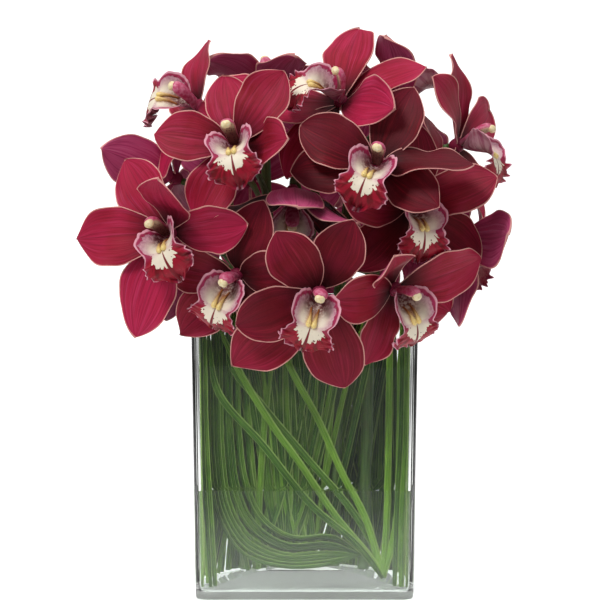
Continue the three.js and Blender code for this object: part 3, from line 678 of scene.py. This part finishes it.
def callus_material():
    paint = Paint("callus")
    blotch = paint.noise(paint.place, 500.0, 3.0)
    colour = paint.over((0.3, 0.09, 0.02), (0.86, 0.66, 0.24), paint.range(paint.value("along"), 0.25, 0.95))
    colour = paint.over(colour, (0.48, 0.18, 0.04), paint.range(blotch, 0.5, 0.7), 0.4)
    return paint.surface(colour, 0.4, normal=paint.bump(blotch, 0.0003, 0.5))


def column_material():
    paint = Paint("column")
    over = paint.over
    blotch = paint.noise(paint.place, 420.0, 3.0)
    under, along = paint.values("under along")
    back = over((0.48, 0.04, 0.12), (0.62, 0.16, 0.26), paint.range(blotch, 0.35, 0.65))
    inside = over((0.17, 0.05, 0.045), (0.64, 0.5, 0.32), paint.range(along, 0.4, 0.92))
    speckle = paint.times(paint.fall(paint.spots(620.0), 0.26, 0.46), paint.fall(along, 0.6, 0.95, 1.0, 0.3))
    inside = over(inside, (0.09, 0.008, 0.014), speckle, 0.85)
    return paint.surface(over(back, inside, under), 0.42, normal=paint.bump(blotch, 0.0003, 0.5))


def cap_material():
    paint = Paint("anther_cap")
    blotch = paint.noise(paint.place, 600.0, 3.0)
    colour = paint.over((0.86, 0.76, 0.48), (0.78, 0.6, 0.3), paint.range(blotch, 0.35, 0.7))
    return paint.surface(colour, 0.4, normal=paint.bump(blotch, 0.0003, 0.4))


def stem_material():
    paint = Paint("stem")
    lines = paint.stripes(paint.value("round"), 9.0, paint.value("along"), 2.0, 0.0)
    blotch = paint.noise(paint.place, 130.0, 3.0)
    colour = paint.over((0.04, 0.095, 0.014), (0.09, 0.17, 0.03), paint.range(lines, 0.35, 0.65))
    colour = paint.over(colour, (0.11, 0.1, 0.035), paint.range(blotch, 0.5, 0.75), 0.4)
    return paint.surface(colour, 0.45, normal=paint.bump(lines, 0.0006, 0.6))


def grass_material():
    paint = Paint("grass")
    over, span = paint.over, paint.range
    along, across, tone, seed = paint.values("along across tone seed")
    away = paint.size(across)
    lines = paint.stripes(across, 7.0, along, 3.0, seed)
    ribbed = span(lines, 0.35, 0.65)
    # Dark blades stand partly for painted shade among the blades.
    dark = over((0.005, 0.026, 0.003), (0.026, 0.1, 0.009), ribbed)
    light = over((0.09, 0.22, 0.014), (0.21, 0.38, 0.04), ribbed)
    colour = over(dark, light, tone)
    cloud = span(paint.noise(paint.place, 45.0, 2.0), 0.5, 0.75)
    colour = over(colour, (0.14, 0.24, 0.03), cloud, 0.3)
    colour = over(colour, (0.26, 0.4, 0.08), paint.fall(away, 0.03, 0.14), 0.25)
    # Both edges are pale, and the edge on the lit side is lighter over a wider band: a painted highlight.
    pale_edges_and_highlight = paint.math("MAXIMUM", span(away, 0.84, 0.97), span(across, 0.55, 0.78))
    colour = over(colour, (0.32, 0.44, 0.12), pale_edges_and_highlight, 0.65)
    return paint.surface(
        colour,
        paint.scaled(lines, 0.2, 0.36),
        specular_ior_level=0.1,
        normal=paint.bump(lines, 0.0005, 0.7),
    )


# Clear solids let lamp light through to what is behind them. A ground one is dull where its point value
# "ground" is 1.
def clear_material(name, ior, tint, body, density, waves, ground=False):
    paint = Paint(name)
    haze = paint.fed("ShaderNodeVolumeAbsorption", {"Color": body, "Density": density})
    paint.feed(paint.output.inputs["Volume"], haze.outputs[0])
    glass = paint.fed("ShaderNodeBsdfPrincipled", {
        "Base Color": tint,
        "Roughness": paint.times(paint.value("ground"), 0.7) if ground else 0.0,
        "IOR": ior,
        "Transmission Weight": 1.0,
        "Normal": paint.bump(paint.noise(paint.place, 22.0, 2.0), waves, 0.5),
    })
    through = paint.fed("ShaderNodeBsdfTransparent", {"Color": tint})
    in_shadow = paint.node("ShaderNodeLightPath").outputs["Is Shadow Ray"]
    both = paint.fed("ShaderNodeMixShader", (in_shadow, glass.outputs[0], through.outputs[0]))
    paint.feed(paint.output.inputs["Surface"], both.outputs[0])
    return paint.material


# The paper is white round the vase and behind it, and fades to the grey of the room on the other sides. Its
# painted glow, strongest where it is white, lights the vase from behind and below.
def paper_material():
    paint = Paint("pale_paper")
    over = paint.over
    x, y, _ = paint.fed("ShaderNodeSeparateXYZ", (paint.place,)).outputs
    reach = paint.scaled(paint.math("MAXIMUM", y, 0.0), 0.2, 0.27)
    beside = paint.math("SUBTRACT", paint.size(x), reach)
    before = paint.scaled(y, -1.8, -0.09)
    fade = paint.range(paint.math("MAXIMUM", beside, before), 0.0, 0.7)
    white = over((0.93, 0.93, 0.93), (0.95, 0.95, 0.95), paint.noise(paint.place, 3.0))
    return paint.surface(
        over(white, (0.18, 0.18, 0.18), fade),
        0.9,
        emission_color=over((1.0, 1.0, 1.0), (0.15, 0.15, 0.15), fade),
        emission_strength=0.55,
    )


# Vase and water

def outer_size(z):
    t = z / VASE_HEIGHT
    return [foot + (top - foot) * t for foot, top in zip(VASE_FOOT, VASE_TOP)]


def vase_ring(z, inset):
    width, depth = outer_size(z)
    half_x, half_y = width / 2 - inset, depth / 2 - inset
    radius = VASE_CORNER_RADIUS - inset
    ring = []
    for sx, sy, start in ((1, -1, -90), (1, 1, 0), (-1, 1, 90), (-1, -1, 180)):
        for k in range(VASE_CORNER_STEPS + 1):
            angle = math.radians(start + 90 * k / VASE_CORNER_STEPS)
            x = sx * (half_x - radius) + math.cos(angle) * radius
            y = sy * (half_y - radius) + math.sin(angle) * radius
            ring.append((x, y, z))
    return np.array(ring)


def floor_height(share):
    return FLOOR_EDGE_HEIGHT + FLOOR_RISE * (1 - share * share)


def floor_rings(inset, lift):
    rings = []
    for share in FLOOR_SHARES:
        ring = vase_ring(FLOOR_EDGE_HEIGHT + lift, inset) * [share, share, 1]
        ring[:, 2] = floor_height(share) + lift
        rings.append(ring)
    return rings


def end_points(rings):
    return [rings[0].mean(axis=0), rings[-1].mean(axis=0)]


# A ring on one of the rim's two rounded edges: how far round that edge, the inset of the side that it
# rounds, and 1 or -1 for the way from that side to the top of the rim.
def rim_ring(angle, side_inset, inward):
    turn = math.radians(angle)
    inset = side_inset + inward * VASE_RIM_BEVEL * (1 - math.cos(turn))
    return vase_ring(VASE_HEIGHT - VASE_RIM_BEVEL * (1 - math.sin(turn)), inset)


# The flat underside is ground dull up to its edge, and the rest of the glass is clear.
def add_vase(material):
    rings = [vase_ring(0, VASE_FOOT_BEVEL + more) for more in (2.5, 0.4, 0)]
    rings.append(vase_ring(VASE_FOOT_BEVEL * 0.3, VASE_FOOT_BEVEL * 0.3))
    rings += [vase_ring(z, 0) for z in np.linspace(VASE_FOOT_BEVEL, VASE_HEIGHT - VASE_RIM_BEVEL, 12)]
    rings += [rim_ring(angle, 0, 1) for angle in (30, 60, 90)]
    rings += [rim_ring(angle, VASE_WALL, -1) for angle in (90, 60, 30, 0)]
    rings += [vase_ring(z, VASE_WALL) for z in np.linspace(INNER_WALL_TOP, INNER_WALL_FOOT, 10)]
    rings += floor_rings(VASE_WALL, 0)
    ground = np.zeros(len(rings) * len(rings[0]) + 2)
    ground[:2 * len(rings[0])] = 1
    ground[-2] = 1
    pieces = Pieces()
    pieces.add_tube(rings, end_points(rings), ground=ground)
    add_piece("glass_vase", "vase", pieces, [material])


def add_water(material):
    skin = VASE_WALL - WATER_OVERLAP
    rings = floor_rings(skin, -WATER_OVERLAP)[::-1]
    rings += [vase_ring(z, skin) for z in np.linspace(INNER_WALL_FOOT, WATER_LEVEL - 2 * WATER_CURL, 6)]
    rings.append(vase_ring(WATER_LEVEL, skin + 0.15))
    top = vase_ring(WATER_LEVEL - WATER_CURL, skin + WATER_CURL_WIDTH)
    rings += [top * [share, share, 1] for share in (1, 0.7, 0.35)]
    pieces = Pieces()
    pieces.add_tube(rings, end_points(rings))
    add_piece("vase_water", "water", pieces, [material])


def floor_under(x, y):
    width, depth = outer_size(FLOOR_EDGE_HEIGHT)
    return floor_height(max(abs(x) / (width / 2 - VASE_WALL), abs(y) / (depth / 2 - VASE_WALL)))


def standing_height(x, y, radius):
    places = ((0, 0), (1, 0), (-1, 0), (0, 1), (0, -1))
    return max(floor_under(x + i * radius, y + j * radius) for i, j in places) + STANDING_GAP


# Grass

def sheaf_line(sheaf, points, layer):
    foot = standing_height(sheaf["joint"], sheaf["depth"], sheaf["width"] / 2) + sheaf["seat"]
    return [(sheaf["joint"], sheaf["depth"], foot)] + [(x, sheaf["depth"] + layer, z) for x, z in points]


# A blade along a line, folded along its middle rib.
def add_blade(pieces, line, width, tilt, tone, seed, curl):
    path = Path(line, 60)
    shares = np.linspace(0, 1, BLADE_ROWS)
    centres, run = path.at(shares), path.along(shares)
    level = np.zeros(BLADE_ROWS)
    side = unit_rows(np.stack([run[:, 2], level, -run[:, 0]], axis=-1))
    lean = tilt + curl * np.sin(shares * 5 + seed)
    side = side * np.cos(lean)[:, None] + np.stack([level, np.sin(lean), level], axis=-1)
    normal = unit_rows(np.cross(run, side))[:, None, :]
    taper = np.where(shares > 0.82, 1 - (shares - 0.82) * 4.2, 1)
    taper = taper * np.where(shares < 0.06, 0.75 + shares * 4, 1)
    across = np.linspace(-1, 1, BLADE_COLUMNS)
    half = width * 0.5 * taper[:, None]
    fold = BLADE_FOLD * half * (1 - np.abs(across))
    middle = centres[:, None, :] + side[:, None, :] * (half * across)[..., None] - normal * fold[..., None]
    thick = normal * (BLADE_HALF_THICKNESS * (1 - 0.5 * np.abs(across)))[:, None]
    along = shares[:, None] * path.reach[-1] / 40
    pieces.add_skin(middle + thick, middle - thick, along=along, across=across, tone=tone, seed=seed)


# Blades that lean against the glass: line, width, tilt and tone.
def wall_blades(name):
    if name == "grass_slanted":
        for depth, width, tilt, tone, points in FRONT_BLADES:
            yield [(x, depth, z) for x, z in points], width, tilt, tone
    for sheaf_name, side, depths in SIDE_BLADES:
        if sheaf_name == name:
            for k, depth in enumerate(depths):
                points = ((67.8, 10), (68.8, 70), (69.5, 134), (70.3, 190 + 3 * k))
                yield [(side * x, depth, z) for x, z in points], SIDE_WIDTH, side * SIDE_TILT, SIDE_TONES[k]


# Most blades are dark, partly as painted shade among the blades, and about one in three is light.
def blade_tone(rng):
    return rng.uniform(0.4, 0.85) if rng.uniform() < 0.32 else rng.uniform(0.0, 0.16)


def loose_line(sheaf, rng):
    foot_x = np.clip(sheaf["joint"] + rng.uniform(-26, 26), -LOOSE_REACH, LOOSE_REACH)
    foot_y = sheaf["depth"] + rng.uniform(-1.4, 1.4)
    top_x = np.clip(foot_x + rng.uniform(-42, 42), 1 - LOOSE_REACH, LOOSE_REACH - 1)
    bend = rng.uniform(-6, 6)
    line = [(foot_x, foot_y, standing_height(foot_x, foot_y, 2.5) + 0.4)]
    for t, z in ((0.35, 72), (0.7, 134), (1, rng.uniform(185, 199))):
        x = foot_x * (1 - t) + top_x * t + bend * math.sin(math.pi * t)
        line.append((np.clip(x, -LOOSE_REACH, LOOSE_REACH), foot_y, z))
    return line


# A sheaf's own blades in full, finer ones between each pair of neighbours, loose ones that stand beside
# the joint, and those that lean against the glass.
def add_sheaf(name, sheaf, material, rng):
    pieces = Pieces()
    paths = [np.array(points, float) for points in sheaf["blades"]]
    layers = sheaf.get("layers", [0] * len(paths))
    bent = name == "grass_bent"
    wide = sheaf["width"] * (BENT_SLIMNESS if bent else 1)
    between, loose = FILLERS.get(name, USUAL_FILLERS)
    seed = 0

    def blade(line, width, tilt, tone, curl):
        nonlocal seed
        seed += 1.7
        add_blade(pieces, line, width, tilt, tone, seed, curl)

    for k, points in enumerate(paths):
        light = k in LIGHT_BLADES.get(name, ())
        tone = rng.uniform(0.65, 0.95) if light else rng.uniform(0.05, 0.22)
        blade(sheaf_line(sheaf, points, layers[k]), wide, BLADE_TILTS[k % 2], tone, 0.05)
        if k + 1 == len(paths) or len(paths[k + 1]) != len(points):
            continue
        for j in range(between):
            share = (j + 1) / (between + 1) + rng.uniform(-0.06, 0.06)
            mixed = points * (1 - share) + paths[k + 1] * share
            mixed = mixed + rng.uniform(-1.5, 1.5, (len(mixed), 1)) * [1, 0] * (not bent)
            line = sheaf_line(sheaf, mixed, rng.uniform(-1.4, 1.4))
            tone = blade_tone(rng) * (0.35 if bent else 1)
            width = wide * rng.uniform(0.7, 1.0)
            blade(line, width, rng.uniform(-0.3, 0.3), tone, 0.15)
        for j in range(loose):
            line = loose_line(sheaf, rng)
            width = sheaf["width"] * rng.uniform(0.6, 1.0)
            blade(line, width, rng.uniform(-0.3, 0.3), blade_tone(rng), 0.2)
    for line, width, tilt, tone in wall_blades(name):
        blade(line, width, tilt, tone, 0.08)
    add_piece(name + "_blades", name, pieces, [material])


# Flower stems

def bezier(points, steps):
    t = np.linspace(0, 1, steps)[:, None]
    a, b, c, d = points
    return a * (1 - t) ** 3 + 3 * b * t * (1 - t) ** 2 + 3 * c * t * t * (1 - t) + d * t ** 3


# A stalk leaves the stem upward and meets the back of the hub square on.
def stalk_line(start, axes):
    hub, _, _, out = axes
    end = hub - out * (HUB_BACK + STANDING_GAP)
    reach = np.linalg.norm(end - start)
    leave = start + np.array([(end[0] - start[0]) * 0.18, (end[1] - start[1]) * 0.18, reach * 0.2])
    return bezier([start, leave, end - out * reach * 0.4, end], 24)


def add_round(pieces, line, radii, sides, seed):
    along = ring_values(np.linspace(0, 1, len(line)), sides) * 4 + seed
    turn = np.concatenate([np.tile(np.abs(np.linspace(-1, 1, sides, endpoint=False)), len(line)), [0, 0]])
    pieces.add_tube(*rings_round(line, radii, sides), along=along, round=turn)


def add_stem(number, stem, axes, material):
    x, y = stem["foot"]
    foot = np.array([x, y, standing_height(x, y, STEM_DIAMETER / 2)])
    neck = np.array([*stem["neck"], VASE_HEIGHT], float)
    path = Path([foot, foot + (neck - foot) * 0.5, neck, stem["top"]])
    pieces = Pieces()
    shares = np.linspace(0, 1, 60)
    swell = 1 + 0.05 * np.sin(shares * 41) - 0.25 * smoothstep(shares, 0.8, 1)
    add_round(pieces, path.at(shares), STEM_DIAMETER / 2 * swell, 18, number)
    for k, (bloom, height) in enumerate(stem["blooms"]):
        line = stalk_line(path.at_height(height), axes[bloom - 1])
        width = STALK_DIAMETER / 2 * (1 + 0.12 * np.cos(np.linspace(0, 2 * math.pi, len(line))))
        add_round(pieces, line, width, 12, number + k * 0.3)
    name = f"flower_stem_{number:02d}"
    add_piece(name + "_stalks", name, pieces, [material])


# Blooms

def bloom_axes(bloom):
    turn, tilt, roll = (math.radians(bloom[key]) for key in ("turn", "tilt", "roll"))
    out = np.array([math.sin(turn) * math.cos(tilt), -math.cos(turn) * math.cos(tilt), math.sin(tilt)])
    right = unit(np.cross([0, 0, 1], out))
    up = np.cross(out, right)
    rolled_up = up * math.cos(roll) + right * math.sin(roll)
    return np.array(bloom["hub"], float), np.cross(rolled_up, out), rolled_up, out


def place(axes, x, y, z):
    hub, right, up, out = axes
    x, y, z = (np.asarray(value, float)[..., None] for value in (x, y, z))
    return hub + right * x + up * y + out * z


# A tepal's middle line and the directions along, across and out of it.
class TepalLine:
    def __init__(self, axes, bloom, index, bend):
        self.hub, right, up, self.out = axes
        self.kind = TEPAL_KINDS[index]
        more_lift, swing, shrink = bend
        angle, share, lift, twist = bloom.get("tepals", USUAL_TEPALS)[index]
        angle = math.radians(angle + swing)
        self.twist = math.radians(twist)
        self.direction = right * math.sin(angle) + up * math.cos(angle)
        self.across = np.cross(self.out, self.direction)
        self.length = TEPAL_LENGTH * bloom["size"] * share * shrink
        self.width = TEPAL_WIDTH * bloom["size"] * self.kind["width"] * (1 + share) * 0.5
        self.steps = np.arange(TEPAL_STEPS + 1) / TEPAL_STEPS
        ease = smoothstep(self.steps, 0.02, 0.4)
        slopes = self.kind["rise"] - self.kind["bend"] * self.steps + (lift + more_lift) * ease
        self.slopes = np.radians(slopes)
        step = self.length / TEPAL_STEPS
        self.ahead = TEPAL_ROOT + np.concatenate([[0], np.cumsum(np.cos(self.slopes[:-1]))]) * step
        self.outward = self.kind["root"] + np.concatenate([[0], np.cumsum(np.sin(self.slopes[:-1]))]) * step

    # The middle line's points, and the sideways and outward directions there.
    def at(self, s):
        s = np.atleast_1d(np.asarray(s, float))
        slope = np.interp(s, self.steps, self.slopes)
        beyond = np.clip(s - 1, 0, None) * self.length
        ahead = np.interp(s, self.steps, self.ahead) + beyond * np.cos(slope)
        outward = np.interp(s, self.steps, self.outward) + beyond * np.sin(slope)
        centre = self.hub + self.direction * ahead[:, None] + self.out * outward[:, None]
        facing = self.out * np.cos(slope)[:, None] - self.direction * np.sin(slope)[:, None]
        turn = (self.twist * smoothstep(s, 0, 0.5))[:, None]
        side = self.across * np.cos(turn) + facing * np.sin(turn)
        normal = facing * np.cos(turn) - self.across * np.sin(turn)
        return centre, side, normal


# How far the corners of a bent tepal's tip are from the nearest points of the plain bloom.
def tip_error(line, tree):
    centre, side, normal = (rows[0] for rows in line.at(1))
    half = line.width * TIP_WIDTH * 0.5
    error = 0
    for v in (-1, 0, 1):
        rise = line.kind["cup"] * half * abs(v) + (0.7 if v == 0 else 0.4)
        corner = centre + side * v * half + normal * rise
        error += min(tree.find(Vector(corner * MM))[2] / MM, 4)
    return error


# A tepal's line with the bend that it has in the plain bloom.
def fitted_line(axes, bloom, index, tree):
    bends = [(lift, swing, share) for share in LENGTHS for lift in LIFTS for swing in SWINGS]
    lines = [TepalLine(axes, bloom, index, bend) for bend in bends]
    return min(lines, key=lambda line: tip_error(line, tree))


# A tepal's width along its length, broad past the middle and drawn out to a point.
def tepal_share(s, root, shoulder, point):
    t = np.linspace(0, 1, 200)
    peak = (t ** root * (1 - t ** shoulder) ** point).max()
    t = np.clip(s / TEPAL_TIP, 0, 1)
    shape = t ** root * (1 - t ** shoulder) ** point / peak
    return np.maximum(shape, 0.15 * (1 - smoothstep(s, 0.02, 0.2)))


def add_tepal(pieces, line, index, rng, tone):
    kind = line.kind
    shares = np.concatenate([np.linspace(0, 0.8, 21), np.linspace(0.83, TEPAL_TIP, 10)])
    s = shares[:, None]
    v = across_shares(TEPAL_COLUMNS)
    root = rng.uniform(0.56, 0.7)
    shoulder = rng.uniform(2.7, 3.3) if kind is PETAL else rng.uniform(2.3, 2.9)
    half = line.width * 0.52 * tepal_share(s, root, shoulder, rng.uniform(0.86, 1.0))
    half = half * (1 + 0.015 * np.sin(s * 21 + rng.uniform(*PHASES)))
    middle_wave, upper_wave = (math.sin(row * 2.1 + index * 1.7) * 1.1 for row in (2, 3))
    wave = np.interp(s, [0.25, 0.55, 0.8, 1], [0, middle_wave, upper_wave, 0])
    ruffle = smoothstep(s, 0.25, 0.6) * rng.uniform(0.8, 2.0)
    phase = rng.uniform(*PHASES, 4)
    pace = rng.uniform(8, 13)
    ruffles = np.where(v < 0, np.sin(s * pace + phase[0]), np.sin(s * pace * 1.13 + phase[1]))
    rise = kind["cup"] * half * np.abs(v) ** 1.7 + wave * v + ruffle * ruffles * v ** 4
    rise = rise - 0.5 * bump_curve(v * half, 0, 1.6) * (1 - 0.5 * s)
    rise = rise + 0.7 * np.sin(s * 5 + phase[2]) * np.cos(v * 2.2 + phase[3]) * smoothstep(s, 0.2, 0.5)
    thick = TEPAL_THICKNESS + (TEPAL_EDGE_THICKNESS - TEPAL_THICKNESS) * v ** 2
    centre, side, normal = (rows[:, None, :] for rows in line.at(shares))
    middle = centre + side * (half * v)[..., None] + normal * rise[..., None]
    offset = normal * (thick * 0.5)[:, None]
    edge = np.minimum((1 - np.abs(v)) * half, (TEPAL_TIP - s) * line.length * 0.8)
    values = {"along": s, "across": v, "edge": edge, "face": SKIN_SIDES, "tone": tone}
    pieces.add_skin(middle + offset, middle - offset, seed=rng.uniform(*SEEDS), **values)


def add_hub(pieces, axes):
    angles = circle(HUB_SIDES)
    rings = []
    for depth, radius in HUB_RINGS:
        rings.append(place(axes, np.cos(angles) * radius, np.sin(angles) * radius, np.full(HUB_SIDES, depth)))
    ends = place(axes, [0, 0], [0, 0], [-HUB_BACK, HUB_RINGS[-1][0] + 0.2])
    pieces.add_tube(rings, ends, along=0.1, edge=9.0, face=0.6, tone=0.4)


def add_bloom(number, bloom, axes, material, rng):
    name = f"bloom_{number:02d}"
    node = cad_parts[name]
    tree = KDTree(len(node.data.vertices))
    for k, vertex in enumerate(node.data.vertices):
        tree.insert(node.matrix_world @ vertex.co, k)
    tree.balance()
    pieces = Pieces()
    mood = BLOOM_TONES.get(number, USUAL_TONE)
    for index in range(len(TEPAL_KINDS)):
        line = fitted_line(axes, bloom, index, tree)
        add_tepal(pieces, line, index, rng, np.clip(mood + rng.uniform(-0.2, 0.2), 0, 1.5))
    add_hub(pieces, axes)
    add_piece(name + "_tepals", name, pieces, [material])


# Lips

def lip_rows(t):
    rows = []
    for k in range(1, LIP_ROWS.shape[1]):
        line = Path([(row[0] * 100, row[k], 0) for row in LIP_ROWS], 40).line
        rows.append(np.interp(t * 100, line[:, 0], line[:, 1]))
    return rows


def add_lip(pieces, axes, rng):
    rows, columns = LIP_MESH
    shares = np.linspace(0, LIP_END, rows)
    y, z, half, stand = lip_rows(shares)
    run = unit_rows(np.stack([np.gradient(y), np.gradient(z)], axis=-1))
    normal_y, normal_z = run[:, 1:], -run[:, :1]
    t, y, z, half, stand = (row[:, None] for row in (shares, y, z, half, stand))
    v = across_shares(columns)
    wide, hand = np.abs(v), np.sign(v)

    # The middle lobe starts at a notch and ends round.
    lobe = smoothstep(t, 0.42, 0.54)
    notch = 1 - 0.20 * bump_curve(t, 0.46, 0.045)
    tip = np.clip(1 - ((t - LIP_WIDEST) / (LIP_END - LIP_WIDEST)) ** 2, 0.01, 1) ** 0.5
    half = half * notch * np.where(t > LIP_WIDEST, tip, 1)

    # Frills run along the edge and round the end.
    phase = rng.uniform(*PHASES, 6)
    around = t + 0.10 * (1 - wide) * smoothstep(t, 0.7, LIP_END)
    frill = np.sin(around * 58 + phase[0] + 2 * hand) + 0.6 * np.sin(around * 97 + phase[4] + 3 * hand)
    round_end = np.sin(v * 12 + phase[2]) + 0.7 * np.sin(v * 23 + phase[5])
    strength = 0.40 + 1.30 * lobe * (1 - smoothstep(t, 0.8, LIP_END))
    rise = stand * wide ** 2.5 + strength * frill * wide ** 5
    rise = rise + 1.5 * round_end * smoothstep(t, 0.74, LIP_END)
    rise = rise + np.sin(v * 5 + phase[3]) * lobe * wide ** 2

    # The side lobes curve inward below their edges.
    tuck = 1 - 0.24 * wide ** 2 * (1 - 0.95 * wide ** 6) * smoothstep(stand, 5, 9)
    scallop = np.sin(around * 70 + phase[3] + 3 * hand) * wide ** 5 * (0.2 + 0.5 * lobe)
    x = half * v * tuck + hand * scallop

    def skin(offset):
        lift = rise + offset
        return place(axes, x, y + normal_y * lift, z + normal_z * lift)

    thick = LIP_THICKNESS * (0.5 - 0.18 * wide)
    edge = np.minimum((1 - wide) * half * (1 + 0.5 * (stand > 5)), (LIP_END - t) * 62)
    opening = np.interp(t, CREAM_SHARES, CREAM_WIDTHS)
    cream = np.minimum(opening - np.abs(x), edge - (2.3 + 3.5 * lobe))
    ahead = (t - 0.4) * LIP_REACH
    values = {"along": t, "side": x, "edge": edge, "cream": cream, "lobe": lobe, "face": SKIN_SIDES}
    values["ray"] = np.arctan2(x, ahead)
    values["reach"] = np.hypot(x, ahead)
    pieces.add_skin(skin(thick), skin(-thick), seed=rng.uniform(*SEEDS), **values)


# Two ridges along the lip's throat that end in round knobs.
def add_calli(pieces, axes):
    steps, sides = 20, 12
    y, z, _, _ = lip_rows(np.linspace(0.22, 0.49, steps))
    shares = np.linspace(0, 1, steps)
    radii = 0.6 + 0.5 * shares + 0.7 * bump_curve(shares, 0.84, 0.16)
    radii = radii * (1 - 0.75 * smoothstep(shares, 0.93, 1))
    for side in (-1, 1):
        centres = place(axes, side * (2.5 - 0.9 * shares), y + 0.7 + 0.7 * shares, z + 0.2 + 0.5 * shares)
        pieces.add_tube(*rings_round(centres, radii, sides), slot=1, along=ring_values(shares, sides))


# The column arches forward over the lip and carries the anther cap at its end.
def add_column(pieces, axes):
    path = Path([(0, y, z) for y, z in COLUMN_LINE], 30)
    shares = np.linspace(0, 1, COLUMN_RINGS)
    spine, run = path.at(shares), path.along(shares)
    radius = np.interp(shares, COLUMN_SHARES, COLUMN_RADII)
    angles = circle(COLUMN_SIDES)
    below = np.clip(-np.sin(angles), 0, 1)
    rings = []
    for (_, y, z), (_, dy, dz), r in zip(spine, run, radius):
        high = np.sin(angles) * r * 0.86 * (1 - 0.62 * below ** 2)
        rings.append(place(axes, np.cos(angles) * r * 1.12, y + high * dz, z - high * dy))
    ends = place(axes, [0, 0], spine[[0, -1], 1], spine[[0, -1], 2])
    under = np.concatenate([np.tile(smoothstep(below, 0.1, 0.45), COLUMN_RINGS), [0, 0]])
    pieces.add_tube(rings, ends, slot=2, under=under, along=ring_values(shares, COLUMN_SIDES))


def add_cap(pieces, axes):
    width, height, depth = CAP_RADII
    angles = circle(CAP_SIDES)
    rings = []
    for p in np.linspace(0.12, math.pi - 0.12, CAP_RINGS):
        groove = 1 - 0.14 * bump_curve(np.cos(angles), 0, 0.22) * math.sin(p)
        x = width * math.sin(p) * np.cos(angles) * groove
        y = CAP_HEIGHT + height * math.sin(p) * np.sin(angles) * groove
        rings.append(place(axes, x, y, np.full(CAP_SIDES, CAP_DEPTH - depth * math.cos(p))))
    ends = place(axes, [0, 0], [CAP_HEIGHT] * 2, [CAP_DEPTH - depth, CAP_DEPTH + depth])
    pieces.add_tube(rings, ends, slot=3)


def add_lip_and_column(number, axes, materials, rng):
    pieces = Pieces()
    add_lip(pieces, axes, rng)
    add_calli(pieces, axes)
    add_column(pieces, axes)
    add_cap(pieces, axes)
    name = f"bloom_{number:02d}_lip"
    add_piece(name + "_and_column", name, pieces, materials)


# Stage

def add_object(name, data, place_mm):
    item = bpy.data.objects.new(name, data)
    item.location = [value * MM for value in place_mm]
    bpy.context.scene.collection.objects.link(item)
    return item


def add_camera():
    data = bpy.data.cameras.new("camera")
    data.lens = CAMERA_LENS
    data.sensor_width = CAMERA_SENSOR
    item = add_object("camera", data, CAMERA_PLACE)
    item.rotation_euler = (math.radians(90 - CAMERA_PITCH), 0, 0)
    bpy.context.scene.camera = item


def add_lamp(name, place_mm, target, size, power):
    data = bpy.data.lights.new(name, "AREA")
    data.shape = "RECTANGLE"
    data.size, data.size_y = size[0] * MM, size[1] * MM
    data.energy = power
    item = add_object(name, data, place_mm)
    aim = Vector(target) - Vector(place_mm)
    item.rotation_euler = aim.to_track_quat("-Z", "Y").to_euler()


# A sheet of paper from its line of y, z pairs.
def add_sheet(name, half_width, line, paper):
    pieces = Pieces()
    points = [(x, y, z + FLOOR_DEPTH) for y, z in line for x in (-half_width, half_width)]
    pieces.add(points, [(2 * k, 2 * k + 1, 2 * k + 3, 2 * k + 2) for k in range(len(line) - 1)])
    mesh_object(name, pieces, [paper])


def add_stage():
    paper = paper_material()
    add_sheet("pale_floor", FLOOR_HALF_WIDTH, [(-FLOOR_HALF_WIDTH, 0), (FLOOR_BACK, 0)], paper)
    curve = []
    for a in np.linspace(0, math.pi / 2, 15):
        curve.append((FLOOR_BACK + WALL_CURVE * math.sin(a), WALL_CURVE - WALL_CURVE * math.cos(a)))
    curve.append((FLOOR_BACK + WALL_CURVE, WALL_TOP))
    add_sheet("pale_wall", WALL_HALF_WIDTH, curve, paper)


def add_light():
    for name, settings in LAMPS.items():
        add_lamp(name, *settings)
    world = bpy.data.worlds.new("soft_room")
    world.use_nodes = True
    nodes, links = world.node_tree.nodes, world.node_tree.links
    direction = nodes.new("ShaderNodeTexCoord")
    parts = nodes.new("ShaderNodeSeparateXYZ")
    links.new(direction.outputs["Generated"], parts.inputs[0])
    strength = nodes.new("ShaderNodeMapRange")
    for key, value in zip(("From Min", "From Max", "To Min", "To Max"), ROOM_LIGHT):
        strength.inputs[key].default_value = value
    links.new(parts.outputs["Y"], strength.inputs["Value"])
    links.new(strength.outputs[0], nodes["Background"].inputs["Strength"])
    nodes["Background"].inputs["Color"].default_value = (1, 1, 1, 1)
    bpy.context.scene.world = world
    bpy.context.scene.view_settings.view_transform = "Standard"


add_camera()
add_stage()
add_light()

tepal = tepal_material()
lip_materials = [lip_material(), callus_material(), column_material(), cap_material()]
stem_paint = stem_material()
grass_paint = grass_material()

add_vase(clear_material("glass", 1.47, (0.97, 0.99, 0.98), (0.52, 0.55, 0.45), 4, 0.0002, ground=True))
add_water(clear_material("water", 1.33, (0.99, 1.0, 0.99), (0.75, 0.92, 0.86), 4, 0.0001))
axes_of = [bloom_axes(bloom) for bloom in BLOOMS]
for order, stem in enumerate(STEMS, 1):
    add_stem(order, stem, axes_of, stem_paint)
grass_rng = np.random.default_rng(7)
for name, sheaf in SHEAVES.items():
    add_sheaf(name, sheaf, grass_paint, grass_rng)
for order, bloom in enumerate(BLOOMS, 1):
    bloom_rng = np.random.default_rng(100 + order)
    add_bloom(order, bloom, axes_of[order - 1], tepal, bloom_rng)
    add_lip_and_column(order, axes_of[order - 1], lip_materials, bloom_rng)
